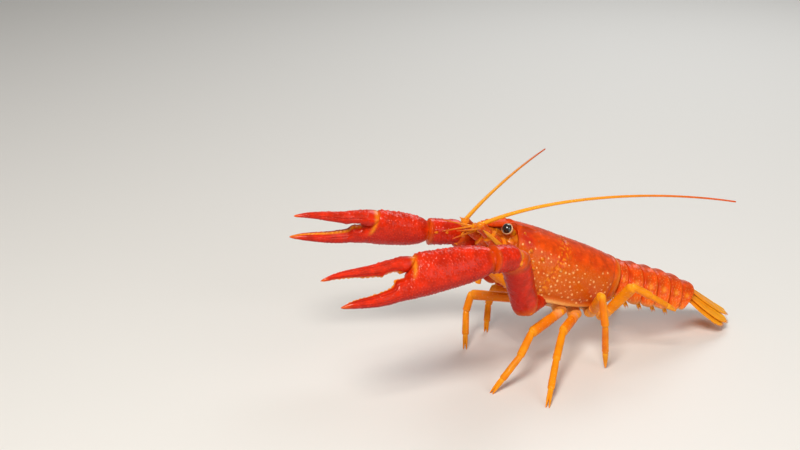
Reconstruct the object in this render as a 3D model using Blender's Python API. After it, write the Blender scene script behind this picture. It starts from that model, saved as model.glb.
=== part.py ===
"""A red swamp crayfish at life size, reared up with both claws held out in front.

Sizes are in millimetres and are scaled to metres where a mesh is made. The crayfish faces +X,
its left side is +Y, and the floor it stands on is z = 0. Points on the trunk are written in the
trunk's own frame: how far ahead of the shell's rear edge, how far to the left, and how high.
"""

import math

import bmesh
import bpy
from mathutils import Matrix, Vector

MM = 0.001
JOINT_GAP = 0.3
WELD = 1e-7

# The origin is on the floor under the middle of the whole crayfish.
ORIGIN = Vector((11.91, -8.6, 0.0))

# How the trunk is held: its head is pitched up, and its left side is rolled up.
TRUNK_REAR = Vector((-15.8, 0.0, 22.5))
TRUNK_PITCH = math.radians(22.0)
ROLL = math.radians(8.0)

# The shell, by distance ahead of its rear edge.
ORBIT = 41.5
ROSTRUM_TIP = 52.0
SHELL_HALF_WIDTH = ((0, 8.6), (5, 10.4), (12, 11.5), (20, 11.8), (28, 11.0), (34, 9.7), (39, 8.3), (42, 7.2))
SHELL_TOP = ((0, 8.9), (10, 10.2), (22, 10.9), (30, 11.4), (38, 11.4), (43, 11.0), (52, 8.3))
SHELL_EDGE = ((0, -4.6), (4, -7.4), (10, -9.4), (18, -10.3), (25, -10.2), (32, -8.2), (37, -5.8), (42, -3.4))
ROSTRUM_HALF_WIDTH = ((41, 4.2), (44, 3.5), (48, 2.6), (49.2, 2.5), (50.0, 1.0), (52, 0.25))
ROSTRUM_HALF_DEPTH = ((41, 1.2), (47, 1.15), (50, 0.75), (52, 0.3))
WIDEST_AT = 0.42
TUCK = 0.2
LIP_SINE = 0.78
UNDER_RECESS = 2.6
GROOVE_STATION = 23.0
GROOVE_SWEEP = 8.0
GROOVE_DEPTH = 0.6
FRONT_SLANT = 3.5
MIDLINE_GROOVE = 0.3

# The tail: six segments, each with its length, half width, height, flap depth and downward pitch.
SEGMENTS = (
    (4.0, 8.2, 7.9, 3.0, 16.0),
    (5.5, 9.2, 7.8, 4.5, 16.5),
    (5.7, 9.2, 7.5, 4.6, 17.5),
    (5.5, 8.9, 7.1, 4.4, 18.5),
    (5.2, 8.4, 6.6, 4.0, 20.5),
    (5.8, 7.6, 6.0, 3.2, 25.0),
)
# Along a segment: the share of its length, of its width and height, and of its flaps' depth.
RING_SHAPE = (
    (0.0, 0.9, 0.55),
    (0.16, 0.92, 0.75),
    (0.26, 0.99, 0.92),
    (0.6, 1.01, 1.0),
    (0.86, 1.03, 0.93),
    (1.0, 1.01, 0.72),
)
FLAP_THICKNESS = 1.0
SWIMMERET_SEGMENTS = (1, 2, 3, 4)
SWIMMERET_LENGTH = 4.6
BELLY_DEPTH = 3.0
FAN_PITCH = math.radians(36.0)
FAN_ROLL = math.radians(-5.0)
FAN_ARCH = 0.03
LAST_RING_SLANT = 0.3
# The tail fan's plates: length, half width, heading outwards, sideways root and height in the last ring.
TELSON = (19.8, 4.2, 0.0, 0.0, 4.5)
INNER_BLADE = (18.6, 3.4, 3.5, 3.2, 3.5)
OUTER_BLADE = (17.0, 3.1, 5.0, 4.3, 2.5)
BLADE_HALF_THICKNESS = 0.3
# Along a plate: the share of its length and of its half width.
BLADE_SHAPE = (
    (-0.24, 0.4),
    (0.0, 0.48),
    (0.12, 0.7),
    (0.3, 0.92),
    (0.55, 1.0),
    (0.78, 0.88),
    (0.91, 0.62),
    (0.98, 0.32),
    (1.0, 0.1),
)

# The head's pieces, in the trunk's frame, on the left side.
EYE_CENTRE = Vector((45.2, 6.3, 8.8))
EYE_RADIUS = 1.7
RIGHT_EYE_SHIFT = Vector((-1.2, -0.8, -1.9))
STALK_ROOT = Vector((41.0, 3.4, 7.6))
PEDUNCLE = (
    Vector((41.5, 5.6, 1.2)),
    Vector((47.0, 7.2, 2.8)),
    Vector((51.0, 7.0, 5.3)),
    Vector((54.9, 6.2, 7.6)),
)
PEDUNCLE_RADII = (3.0, 2.3, 1.7)
RIGHT_PEDUNCLE_DROP = (0.0, 0.2, 0.9, 1.7)
SCALE_BLADE = (Vector((44.6, 9.7, 1.8)), Vector((54.6, 9.2, 6.6)))
FEELER = (Vector((41.8, 1.7, 5.8)), Vector((47.0, 1.7, 6.2)), Vector((53.0, 2.4, 5.6)))
FEELER_WHIP = 11.0
MAXILLIPED = (
    Vector((30.0, 2.9, -8.8)),
    Vector((38.0, 3.2, -8.6)),
    Vector((44.0, 3.0, -5.6)),
    Vector((47.5, 2.8, -7.6)),
    Vector((47.0, 2.6, -11.2)),
)

# The long antennae, as the last three control points of a curve in the floor's frame.
LEFT_ANTENNA = (Vector((12.0, 8.5, 59.0)), Vector((-18.0, 19.0, 62.5)), Vector((-49.2, 22.0, 55.5)))
RIGHT_ANTENNA = (Vector((19.0, -18.5, 52.8)), Vector((-1.0, -38.0, 53.6)), Vector((-16.5, -54.0, 52.5)))
ANTENNA_RADII = (0.72, 0.25)

# The claw, by distance ahead of the wrist: its lower edge, upper edge and half thickness.
PALM = (
    (0.0, -3.3, 3.3, 2.6),
    (1.6, -4.3, 4.3, 3.6),
    (5.5, -5.3, 5.3, 4.4),
    (11.0, -6.0, 5.9, 4.8),
    (18.0, -6.6, 6.1, 4.8),
    (22.2, -6.9, 6.2, 4.5),
    (23.9, -6.9, 5.6, 4.2),
    (27.2, -7.0, 1.0, 3.3),
    (28.4, -7.0, -0.4, 3.0),
    (31.0, -7.1, -0.7, 2.7),
    (32.2, -7.2, -2.3, 2.5),
    (34.9, -7.4, -3.1, 2.3),
    (38.6, -7.3, -3.7, 2.0),
    (42.2, -6.9, -3.9, 1.7),
    (45.4, -6.4, -4.3, 1.3),
    (47.9, -6.0, -4.9, 0.7),
    (48.9, -5.7, -5.2, 0.3),
)
DACTYL = (
    (-1.6, 3.6, 5.3, 2.4),
    (0.0, 1.7, 5.8, 3.1),
    (1.8, 1.1, 6.0, 3.1),
    (4.6, 1.9, 5.8, 2.8),
    (7.2, 1.8, 5.6, 2.5),
    (9.0, 1.2, 5.4, 2.3),
    (11.0, 1.6, 5.2, 2.1),
    (15.0, 2.1, 5.1, 1.8),
    (19.5, 2.8, 5.0, 1.4),
    (23.5, 3.0, 4.6, 0.9),
    (26.2, 3.0, 3.9, 0.5),
    (27.2, 3.2, 3.5, 0.25),
)
HINGE = 25.9
HINGE_HEIGHT = 6.0

# Each claw arm in the floor's frame: its joints, where the claw aims, its roll, the gape and bend
# of its fingers, its size, the palm's share of its usual length, and the claw's length.
LEFT_ARM = {
    "joints": (Vector((19.2, 14.5, 24.4)), Vector((26.3, 20.5, 45.2)), Vector((34.8, 22.6, 46.6))),
    "tip": Vector((84.0, 25.0, 44.5)),
    "roll": 62.0,
    "gape": 0.0,
    "bend": 0.0,
    "size": 1.0,
    "palm_share": 1.0,
    "length": 48.9,
}
RIGHT_ARM = {
    "joints": (Vector((18.0, -12.5, 24.0)), Vector((31.0, -15.6, 40.2)), Vector((42.3, -16.5, 41.5))),
    "tip": Vector((87.5, -20.5, 50.4)),
    "roll": 70.0,
    "gape": 1.5,
    "bend": 7.0,
    "size": 0.95,
    "palm_share": 0.78,
    "length": 46.8,
}
SHOULDER = Vector((24.5, 5.6, -9.8))
ARM_RADII = ((3.0, 3.0), (3.9, 4.7), (4.1, 4.3))

# Each walking leg: its root in the trunk's frame on that side, then its knee, wrist and foot on the floor.
LEGS = {
    "left_leg_1": (17.0, (17.2, 15.5, 15.6), (22.9, 20.0, 10.2), (33.7, 22.9), True),
    "left_leg_2": (11.0, (6.4, 16.0, 14.6), (12.1, 24.0, 9.1), (20.2, 36.4), True),
    "left_leg_3": (5.4, (-4.8, 20.0, 27.3), (-6.2, 21.0, 17.0), (-8.6, 18.6), False),
    "left_leg_4": (0.6, (-18.0, 16.0, 27.2), (-24.0, 17.4, 23.6), (-33.6, 18.0), False),
    "right_leg_1": (17.0, (26.6, -15.0, 16.8), (28.8, -13.6, 11.5), (31.2, -7.5), True),
    "right_leg_2": (11.0, (15.9, -20.5, 15.4), (17.6, -21.2, 9.0), (19.7, -17.5), True),
    "right_leg_3": (5.4, (-6.0, -19.5, 26.0), (-9.0, -26.0, 17.0), (-13.0, -31.0), False),
    "right_leg_4": (0.6, (-19.0, -16.0, 24.0), (-26.0, -20.0, 15.0), (-36.5, -24.0), False),
}
RAISED_FOOT = {"left_leg_4": 17.0}
LEG_ROOT_SIDE = 4.6
LEG_ROOT_DEPTH = -12.4
REAR_LEG_LIFT = 2.4
LEG_RADII = (1.85, 1.45, 1.3, 1.05)
FOOT_RADIUS = 0.55
# How far a standing foot reaches under the floor before its flat is cut.
FOOT_SUNK = 0.25
HIP_RADIUS = 2.3
ANKLE_SHARE = 0.62
# The toes of a pincer: how far apart, how wide and how thick beside a plain toe.
FINGER_SPREAD = 1.1
FINGER_SHARES = (0.62, 0.8)

# How a limb's segment swells between its joints, as shares of its length and of its radius.
SWELL = ((0.0, 0.74), (0.1, 0.86), (0.5, 0.96), (0.85, 1.0), (1.0, 0.8))

COLOURS = {
    "shell": (0.74, 0.10, 0.02, 0.42),
    "tail": (0.76, 0.12, 0.02, 0.42),
    "claw": (0.68, 0.02, 0.01, 0.32),
    "leg": (0.86, 0.27, 0.02, 0.45),
    "feeler": (0.90, 0.36, 0.03, 0.45),
    "pale": (0.80, 0.55, 0.30, 0.55),
    "fan": (0.86, 0.22, 0.02, 0.45),
    "eye": (0.01, 0.01, 0.01, 0.12),
}


def clear_scene():
    for found in list(bpy.data.objects):
        bpy.data.objects.remove(found)


def finish_of(slot):
    """The material of a slot, made once."""
    if slot in bpy.data.materials:
        return bpy.data.materials[slot]
    material = bpy.data.materials.new(slot)
    material.use_nodes = True
    shader = material.node_tree.nodes["Principled BSDF"]
    red, green, blue, roughness = COLOURS[slot]
    shader.inputs["Base Color"].default_value = (red, green, blue, 1.0)
    shader.inputs["Roughness"].default_value = roughness
    return material


def curve_through(table, x, column=1):
    """A smooth value between the rows of a table, whose first column is the distance."""
    if x <= table[0][0]:
        return table[0][column]
    if x >= table[-1][0]:
        return table[-1][column]
    at = max(i for i, row in enumerate(table) if row[0] <= x)
    x0, x1 = table[at][0], table[at + 1][0]
    y0, y1 = table[at][column], table[at + 1][column]
    before, after = table[max(at - 1, 0)], table[min(at + 2, len(table) - 1)]
    slope0 = (y1 - before[column]) / (x1 - before[0])
    slope1 = (after[column] - y0) / (after[0] - x0)
    t, span = (x - x0) / (x1 - x0), x1 - x0
    ease = t * t * (3 - 2 * t)
    return y0 + (y1 - y0) * ease + span * t * (1 - t) * (slope0 * (1 - t) - slope1 * t)


def held(pitch, roll=ROLL):
    """The directions ahead, to the left and up of a part of the body that is held at this pitch."""
    ahead = Vector((math.cos(pitch), 0.0, math.sin(pitch)))
    upright = Vector((-math.sin(pitch), 0.0, math.cos(pitch)))
    level = Vector((0.0, 1.0, 0.0))
    left = level * math.cos(roll) + upright * math.sin(roll)
    up = upright * math.cos(roll) - level * math.sin(roll)
    return ahead, left, up


def on_trunk(point):
    """A point of the trunk's frame, in the floor's frame."""
    ahead, left, up = held(TRUNK_PITCH)
    return TRUNK_REAR + ahead * point[0] + left * point[1] + up * point[2]


def mirrored(point, side):
    return Vector((point[0], side * point[1], point[2]))


def power(value, exponent):
    return math.copysign(abs(value) ** exponent, value)


def skin(name, surface, along, around, slot):
    """A closed solid from a grid that is bent round into a tube, with its two ends filled."""
    mesh = bmesh.new()
    bmesh.ops.create_grid(mesh, x_segments=around, y_segments=along, size=0.5)
    for vertex in mesh.verts:
        row = round((vertex.co.y + 0.5) * along)
        angle = math.tau * (round((vertex.co.x + 0.5) * around) % around) / around
        vertex.co = (surface(row, angle) - ORIGIN) * MM
    bmesh.ops.remove_doubles(mesh, verts=mesh.verts, dist=WELD)
    bmesh.ops.dissolve_degenerate(mesh, edges=mesh.edges, dist=WELD)
    bmesh.ops.holes_fill(mesh, edges=[e for e in mesh.edges if e.is_boundary], sides=0)
    bmesh.ops.recalc_face_normals(mesh, faces=mesh.faces)
    if mesh.calc_volume(signed=True) < 0:
        bmesh.ops.reverse_faces(mesh, faces=mesh.faces)
    return object_of(name, mesh, slot)


def object_of(name, mesh, slot):
    data = bpy.data.meshes.new(name)
    mesh.to_mesh(data)
    mesh.free()
    made = bpy.data.objects.new(name, data)
    bpy.context.scene.collection.objects.link(made)
    data.materials.append(finish_of(slot))
    data.shade_smooth()
    data.set_sharp_from_angle(angle=math.radians(40))
    return made


def station(centre, axis, plane, half_width, half_height):
    return (centre, axis, plane, half_width, half_height)


def tube(name, stations, side, around, slot, squareness=2.0):
    """A limb, plate or feeler: rings about its stations, each lying in that station's plane."""

    def surface(row, angle):
        centre, axis, plane, half_width, half_height = stations[row]
        across = (side - axis * side.dot(axis)).normalized()
        up = axis.cross(across)
        out = across * power(math.cos(angle), 2 / squareness) * half_width
        out = out + up * power(math.sin(angle), 2 / squareness) * half_height
        return centre + out - axis * (out.dot(plane) / axis.dot(plane))

    return skin(name, surface, len(stations) - 1, around, slot)


def limb_stations(points, radii, before=None, after=None, shape=SWELL):
    """Stations along a jointed limb. Rings at a joint lie in the plane that halves its bend."""
    axes = [(b - a).normalized() for a, b in zip(points, points[1:])]
    stations = []
    for i, (start, end, axis) in enumerate(zip(points, points[1:], axes)):
        last = axes[i - 1] if i else before
        following = axes[i + 1] if i + 1 < len(axes) else after
        first_plane = (axis + last).normalized() if last else axis
        end_plane = (axis + following).normalized() if following else axis
        if i == 0 and before:
            start = start + axis * (JOINT_GAP / 2 / axis.dot(first_plane))
        if i == len(axes) - 1 and after:
            end = end - axis * (JOINT_GAP / 2 / axis.dot(end_plane))
        for share, swell in shape:
            if share == 0.0 and i:
                continue
            plane = axis
            if share < 0.3:
                plane = first_plane.lerp(axis, share / 0.3).normalized()
            if share > 0.7:
                plane = axis.lerp(end_plane, (share - 0.7) / 0.3).normalized()
            width, height = radii[i]
            stations.append(station(start.lerp(end, share), axis, plane, width * swell, height * swell))
    return stations


def applied(made):
    """The object with its modifiers applied, and its mesh kept."""
    graph = bpy.context.evaluated_depsgraph_get()
    finished = bpy.data.meshes.new_from_object(made.evaluated_get(graph))
    made.modifiers.clear()
    made.data = finished
    return made


def largest_piece(made):
    """Keeps the largest closed surface of a mesh and drops any scrap."""
    mesh = bmesh.new()
    mesh.from_mesh(made.data)
    unseen, groups = set(mesh.verts), []
    while unseen:
        group, edge = set(), [unseen.pop()]
        while edge:
            vertex = edge.pop()
            group.add(vertex)
            for link in vertex.link_edges:
                other = link.other_vert(vertex)
                if other in unseen:
                    unseen.discard(other)
                    edge.append(other)
        groups.append(group)

    def reach(group):
        spans = [max(v.co[i] for v in group) - min(v.co[i] for v in group) for i in range(3)]
        return sum(spans)

    keep = max(groups, key=reach)
    bmesh.ops.delete(mesh, geom=[v for v in mesh.verts if v not in keep], context="VERTS")
    mesh.to_mesh(made.data)
    mesh.free()
    return made


def grown_copy(made, gap):
    """A copy whose surface stands the gap further out, to cut a neighbour clear with."""
    mesh = bmesh.new()
    mesh.from_mesh(made.data)
    mesh.normal_update()
    moved = {v: v.co + v.normal * (gap * MM * min(v.calc_shell_factor(), 1.4)) for v in mesh.verts}
    for vertex, place in moved.items():
        vertex.co = place
    cutter = object_of(made.name + "_cutter", mesh, made.data.materials[0].name)
    cutter.hide_render = True
    cutter.display_type = "WIRE"
    return cutter


def clear_of(made, *neighbours, gap=JOINT_GAP):
    """Cuts an object back so that it meets its neighbours face to face across the gap."""
    for neighbour in neighbours:
        cutter = grown_copy(neighbour, gap)
        cut = made.modifiers.new("clearance", "BOOLEAN")
        cut.operation = "DIFFERENCE"
        cut.solver = "EXACT"
        cut.object = cutter
        applied(made)
        bpy.data.objects.remove(cutter)
    return largest_piece(made)


def fused(made, pieces):
    """Joins small pieces to the object that they grow from, as one closed body."""
    gathered = bpy.data.collections.new(made.name + "_pieces")
    bpy.context.scene.collection.children.link(gathered)
    for piece in pieces:
        bpy.context.scene.collection.objects.unlink(piece)
        gathered.objects.link(piece)
    join = made.modifiers.new("join", "BOOLEAN")
    join.operation = "UNION"
    join.solver = "EXACT"
    join.operand_type = "COLLECTION"
    join.collection = gathered
    applied(made)
    for piece in pieces:
        bpy.data.objects.remove(piece)
    bpy.data.collections.remove(gathered)
    return largest_piece(made)


def flat_footed(made):
    """Cuts off what reaches under the floor, which leaves the small flat that a foot stands on."""
    mesh = bmesh.new()
    mesh.from_mesh(made.data)
    bmesh.ops.bisect_plane(
        mesh,
        geom=list(mesh.verts) + list(mesh.edges) + list(mesh.faces),
        dist=1e-8,
        plane_co=(0, 0, 0),
        plane_no=(0, 0, -1),
        clear_outer=True,
    )
    bmesh.ops.holes_fill(mesh, edges=[e for e in mesh.edges if e.is_boundary], sides=0)
    mesh.to_mesh(made.data)
    mesh.free()
    return made


SHELL_STATIONS = (0, 2, 6, 11, 16, 20.5, 22.2, 23, 23.8, 25.5, 30, 35, 39, 41.5)
ROSTRUM_STATIONS = (41.8, 44.5, 47.5, 49.2, 49.9, 51, ROSTRUM_TIP)


def shell_point(x, angle):
    """A point of the shell's outline, in the trunk's frame."""
    cosine, sine = math.cos(angle), math.sin(angle)
    top = curve_through(SHELL_TOP, x)
    edge = curve_through(SHELL_EDGE, x)
    width = curve_through(SHELL_HALF_WIDTH, x)
    middle = edge + WIDEST_AT * (top - edge)
    lip_cosine = math.sqrt(1 - LIP_SINE**2)
    if sine >= 0:
        y = width * power(cosine, 0.9)
        z = middle + (top - middle) * power(sine, 0.9)
        z -= MIDLINE_GROOVE * max(0.0, 1 - abs(y) / 0.8) * (2 < x < 22)
    elif -sine <= LIP_SINE:
        share = -sine / LIP_SINE
        y = math.copysign(width * (1 - TUCK * share**2), cosine)
        z = middle - (middle - edge) * share
    else:
        share = abs(cosine) / lip_cosine
        y = width * (1 - TUCK) * cosine / lip_cosine
        z = edge + UNDER_RECESS * (1 - share**3)
    down = (top - z) / (top - edge) if -sine <= LIP_SINE else 1.0
    tent = max(0.0, min(x / GROOVE_STATION, (ORBIT - 2 - x) / (ORBIT - 2 - GROOVE_STATION)))
    slant = max(0.0, (x - 30.0) / (ORBIT - 30.0)) ** 2
    along = x + GROOVE_SWEEP * down**1.2 * tent - FRONT_SLANT * down * slant
    if x == GROOVE_STATION and -sine < LIP_SINE:
        depth = GROOVE_DEPTH * (1 - 0.5 * down)
        y -= math.copysign(depth * abs(cosine), y)
        z -= depth * max(sine, 0.0)
    return Vector((along, y, z))


def rostrum_point(x, angle):
    top = curve_through(SHELL_TOP, x)
    half_depth = curve_through(ROSTRUM_HALF_DEPTH, x)
    width = curve_through(ROSTRUM_HALF_WIDTH, x)
    y = width * power(math.cos(angle), 0.8)
    dish = 0.35 * half_depth * (1 - abs(y) / max(width, 0.1)) * (math.sin(angle) > 0)
    return Vector((x, y, top - half_depth + half_depth * power(math.sin(angle), 0.8) - dish))


def make_shell():
    """The shell over head and thorax, one piece, with the rostrum between the eyes."""

    def surface(row, angle):
        if row < len(SHELL_STATIONS):
            return on_trunk(shell_point(SHELL_STATIONS[row], angle))
        return on_trunk(rostrum_point(ROSTRUM_STATIONS[row - len(SHELL_STATIONS)], angle))

    rows = len(SHELL_STATIONS) + len(ROSTRUM_STATIONS)
    return skin("shell", surface, rows - 1, 32, "shell")


def make_underside(shell, face):
    """The pale breastplate between the legs, and its uncut form, which the limbs are fitted to."""
    rows = ((40.5, 4.2), (37, 5.2), (33, 5.8), (28, 6.4), (22, 6.4), (14, 6.2), (7, 5.6), (0.6, 4.8))

    def surface(row, angle):
        x, half_width = rows[row]
        edge = curve_through(SHELL_EDGE, x)
        top, bottom = edge + UNDER_RECESS + 1.5, min(edge - 2.4, -7.5)
        y = half_width * power(math.cos(angle), 0.8)
        z = (top + bottom) / 2 + (top - bottom) / 2 * power(math.sin(angle), 0.8)
        narrow = 1 - 0.35 * max(0.0, -math.sin(angle))
        return on_trunk((x, y * narrow, z))

    underside = skin("underside", surface, len(rows) - 1, 16, "pale")
    uncut = grown_copy(underside, 0.0)
    return clear_of(underside, shell, face), uncut


def make_face(shell):
    """The front of the head under the rostrum, which carries the eyes and feelers."""
    rows = ((38.0, 6.0, 8.8, -5.0), (42.0, 6.2, 8.6, -5.0), (43.6, 5.4, 7.6, -4.2), (44.6, 3.6, 6.4, -2.8))

    def surface(row, angle):
        x, half_width, top, bottom = rows[row]
        y = half_width * power(math.cos(angle), 0.8)
        z = (top + bottom) / 2 + (top - bottom) / 2 * power(math.sin(angle), 0.8)
        return on_trunk((x, y, z))

    return clear_of(skin("face", surface, len(rows) - 1, 16, "feeler"), shell)


def tail_frames():
    """Where each tail segment starts, with its pitch, and where the fan starts."""
    frames, place = [], TRUNK_REAR.copy()
    for length, *_, pitch in SEGMENTS:
        angle = math.radians(pitch)
        frames.append((place.copy(), angle))
        place = place + Vector((-math.cos(angle), 0.0, -math.sin(angle))) * length
    frames.append((place, FAN_PITCH))
    return frames


def make_tail_segment(number, frames):
    """One ring of the tail: an arched back plate, a flap on each side and the belly between."""
    length, width, height, flap, _ = SEGMENTS[number]
    (start, pitch), (end, next_pitch) = frames[number], frames[number + 1]
    last_pitch = frames[number - 1][1] if number else TRUNK_PITCH
    back = Vector((-math.cos(pitch), 0.0, -math.sin(pitch)))
    belly = -BELLY_DEPTH * height / 8.0

    def surface(row, angle):
        share, swell, droop = RING_SHAPE[row]
        front, rear = (last_pitch + pitch) / 2, (pitch + next_pitch) / 2
        if number == 0:
            front = TRUNK_PITCH
        _, left, up = held(front + (rear - front) * share)
        inset = JOINT_GAP * (1.0 if number == 0 and row == 0 else 0.5)
        centre = start + back * (length * share)
        if row == 0:
            centre = centre + back * inset
        if row == len(RING_SHAPE) - 1:
            centre = centre - back * inset
        tip = -flap * droop
        cosine, sine = math.cos(angle), math.sin(angle)
        if sine >= 0:
            y = width * swell * power(cosine, 0.85)
            z = tip + (height * swell - tip) * power(sine, 0.75)
        else:
            y = (width * swell - FLAP_THICKNESS) * power(cosine, 0.85)
            z = tip + (belly - tip) * power(-sine, 0.6)
        if abs(sine) < 1e-6:
            y = (width * swell - FLAP_THICKNESS / 2) * cosine
        if number == len(SEGMENTS) - 1:
            centre = centre - back * (LAST_RING_SLANT * share * (height - z))
        return centre + left * y + up * z

    return skin(f"tail_segment_{number + 1}", surface, len(RING_SHAPE) - 1, 24, "tail")


def swimmeret(name, root, down, back, length):
    axis = (down + back * 0.9).normalized()
    side = Vector((0.0, 1.0, 0.0))
    rings = [
        station(root - axis * 1.2, axis, axis, 1.0, 0.7),
        station(root + axis * length * 0.35, axis, axis, 0.9, 0.6),
        station(root + axis * length * 0.7, axis, axis, 1.3, 0.45),
        station(root + axis * length * 0.95, axis, axis, 0.7, 0.35),
        station(root + axis * length, axis, axis, 0.2, 0.2),
    ]
    return tube(name, rings, side, 8, "leg")


def make_tail(shell):
    frames = tail_frames()
    made = []
    for number in range(len(SEGMENTS)):
        segment = make_tail_segment(number, frames)
        if number in SWIMMERET_SEGMENTS:
            start, pitch = frames[number]
            ahead, left, up = held(pitch)
            length, width, height = SEGMENTS[number][:3]
            root = start - ahead * length * 0.3 - up * BELLY_DEPTH * height / 8.0
            pieces = []
            for side in (1, -1):
                place = root + left * (side * width * 0.42)
                pieces.append(swimmeret(f"swimmeret_{side}", place, -up, -ahead, SWIMMERET_LENGTH))
            segment = fused(segment, pieces)
        made.append(segment)
    return made, frames


def make_blade(name, shape, side_sign, frames, last_segment):
    """One plate of the tail fan. It bends down to both sides, so that the folded fan is a shallow roof."""
    length, width, heading, root_side, height = shape
    place, _ = frames[-1]
    ahead, left, up = held(FAN_PITCH, FAN_ROLL)
    turn = math.radians(heading)
    axis = -ahead * math.cos(turn) + left * (side_sign * math.sin(turn))
    root = place + up * height + left * (side_sign * root_side)
    across = up.cross(axis).normalized()
    rings = []
    for share, wide in BLADE_SHAPE:
        centre = root + axis * (length * share)
        thick = BLADE_HALF_THICKNESS * (1.1 - 0.3 * max(share, 0.0))
        rings.append(station(centre, axis, axis, width * wide, thick))
    made = tube(name, rings, across, 12, "fan", squareness=2.6)
    for vertex in made.data.vertices:
        aside = (vertex.co / MM + ORIGIN - place).dot(left)
        vertex.co -= up * (FAN_ARCH * aside**2 * MM)
    return clear_of(made, last_segment)


def make_fan(frames, last_segment):
    made = [make_blade("telson", TELSON, 1, frames, last_segment)]
    for word, side in (("left", 1), ("right", -1)):
        made.append(make_blade(f"tail_blade_inner_{word}", INNER_BLADE, side, frames, last_segment))
        made.append(make_blade(f"tail_blade_outer_{word}", OUTER_BLADE, side, frames, last_segment))
    return [flat_footed(blade) for blade in made]


def make_eye(word, side, shell, face):
    """A round dark eye on its short stalk. The right one is drawn further in and down."""
    shift = RIGHT_EYE_SHIFT if side < 0 else Vector()
    centre = on_trunk(mirrored(EYE_CENTRE + shift, side))
    root = on_trunk(mirrored(STALK_ROOT, side))
    axis = (centre - root).normalized()
    rows = 9

    def ball(row, angle):
        polar = math.pi * row / rows
        across = axis.orthogonal().normalized()
        up = axis.cross(across)
        out = across * math.cos(angle) + up * math.sin(angle)
        return centre + axis * (-EYE_RADIUS * math.cos(polar)) + out * (EYE_RADIUS * math.sin(polar))

    eye = skin(f"eye_{word}", ball, rows, 14, "eye")
    eye = clear_of(eye, shell, face)
    end = centre - axis * (EYE_RADIUS * 0.2)
    stalk_rings = [
        station(root - axis * 1.0, axis, axis, EYE_RADIUS * 0.7, EYE_RADIUS * 0.7),
        station(root.lerp(end, 0.5), axis, axis, EYE_RADIUS * 0.75, EYE_RADIUS * 0.75),
        station(end, axis, axis, EYE_RADIUS * 0.92, EYE_RADIUS * 0.92),
    ]
    stalk = tube(f"eyestalk_{word}", stalk_rings, Vector((0, 0, 1)), 12, "feeler")
    return clear_of(stalk, shell, face, eye), eye


def make_antenna(word, side, shell, face, eye, stalk):
    """The antenna's stout base, its flat scale, and the long whip in two lengths."""
    drops = RIGHT_PEDUNCLE_DROP if side < 0 else (0.0,) * len(PEDUNCLE)
    points = [on_trunk(mirrored(p, side) - Vector((0, 0, drop))) for p, drop in zip(PEDUNCLE, drops)]
    start = points[-1]
    controls = LEFT_ANTENNA if side > 0 else RIGHT_ANTENNA

    def whip(t):
        a, (b, c, d) = start, controls
        s = 1 - t
        return a * s**3 + b * (3 * s * s * t) + c * (3 * s * t * t) + d * t**3

    first = (whip(0.02) - start).normalized()
    base_rings = limb_stations(points, [(r, r) for r in PEDUNCLE_RADII], after=first)
    base = tube(f"antenna_base_{word}", base_rings, Vector((0, 1, 0)), 12, "feeler")
    base = clear_of(base, face, shell, eye, stalk)
    tips = [on_trunk(mirrored(p, side)) for p in SCALE_BLADE]
    axis = (tips[1] - tips[0]).normalized()
    scale_rings = [
        station(tips[0].lerp(tips[1], share), axis, axis, 1.9 * wide, 0.6 * (1.2 - share))
        for share, wide in ((0.0, 0.5), (0.15, 0.85), (0.5, 1.0), (0.8, 0.7), (0.92, 0.4), (1.0, 0.12))
    ]
    flat = Vector((0.2, side * 0.7, 0.6))
    scale = tube(f"antenna_scale_{word}", scale_rings, flat, 10, "feeler", squareness=2.4)
    scale = clear_of(scale, base, face, shell, eye, stalk)
    whips = []
    lengths = (("lower", 0.0, 0.45, 12), ("upper", 0.45, 1.0, 14))
    for part, begin, finish, steps in lengths:
        rings = []
        for step in range(steps + 1):
            t = begin + (finish - begin) * step / steps
            place = whip(t)
            axis = (whip(min(t + 0.01, 1.0)) - whip(max(t - 0.01, 0.0))).normalized()
            if step == 0:
                place = place + axis * JOINT_GAP / 2
            if step == steps and finish < 1.0:
                place = place - axis * JOINT_GAP / 2
            radius = ANTENNA_RADII[0] + (ANTENNA_RADII[1] - ANTENNA_RADII[0]) * t**0.8
            if step == 0 and begin == 0.0:
                axis = (first + (points[-1] - points[-2]).normalized()).normalized()
            rings.append(station(place, axis, axis, radius, radius))
        whips.append(tube(f"antenna_{part}_{word}", rings, Vector((0, 1, 0.2)), 7, "feeler"))
    return base, scale, whips


def make_feeler(word, side, face, base, shell):
    """The small forked feeler beside the rostrum."""
    points = [on_trunk(mirrored(p, side)) for p in FEELER]
    rings = limb_stations(points, [(1.35, 1.35), (1.05, 1.05)])
    stem = tube(f"feeler_{word}", rings, Vector((0, 1, 0)), 8, "feeler")
    ahead = (points[-1] - points[-2]).normalized()
    whips = []
    for name, lift, spread in (("outer", -0.06, 0.30), ("inner", -0.40, 0.10)):
        axis = (ahead + Vector((0, side * spread, lift))).normalized()
        root = points[-1] - axis * 1.2
        whip_rings = [
            station(root + axis * (FEELER_WHIP * share), axis, axis, radius, radius)
            for share, radius in ((0.0, 0.45), (0.5, 0.36), (1.0, 0.22))
        ]
        whips.append(tube(f"whip_{name}", whip_rings, Vector((0, 1, 0.1)), 6, "feeler"))
    return clear_of(fused(stem, whips), face, base, shell)


def make_maxilliped(word, side, underside, face, shell):
    """The outer mouth leg, folded forward under the head."""
    points = [on_trunk(mirrored(p, side)) for p in MAXILLIPED]
    radii = [(1.9, 1.6), (1.8, 1.5), (1.4, 1.2), (1.1, 0.9)]
    rings = limb_stations(points, radii)
    made = tube(f"mouth_leg_{word}", rings, Vector((0, 1, 0)), 10, "leg")
    return clear_of(made, underside, face, shell)


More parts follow.
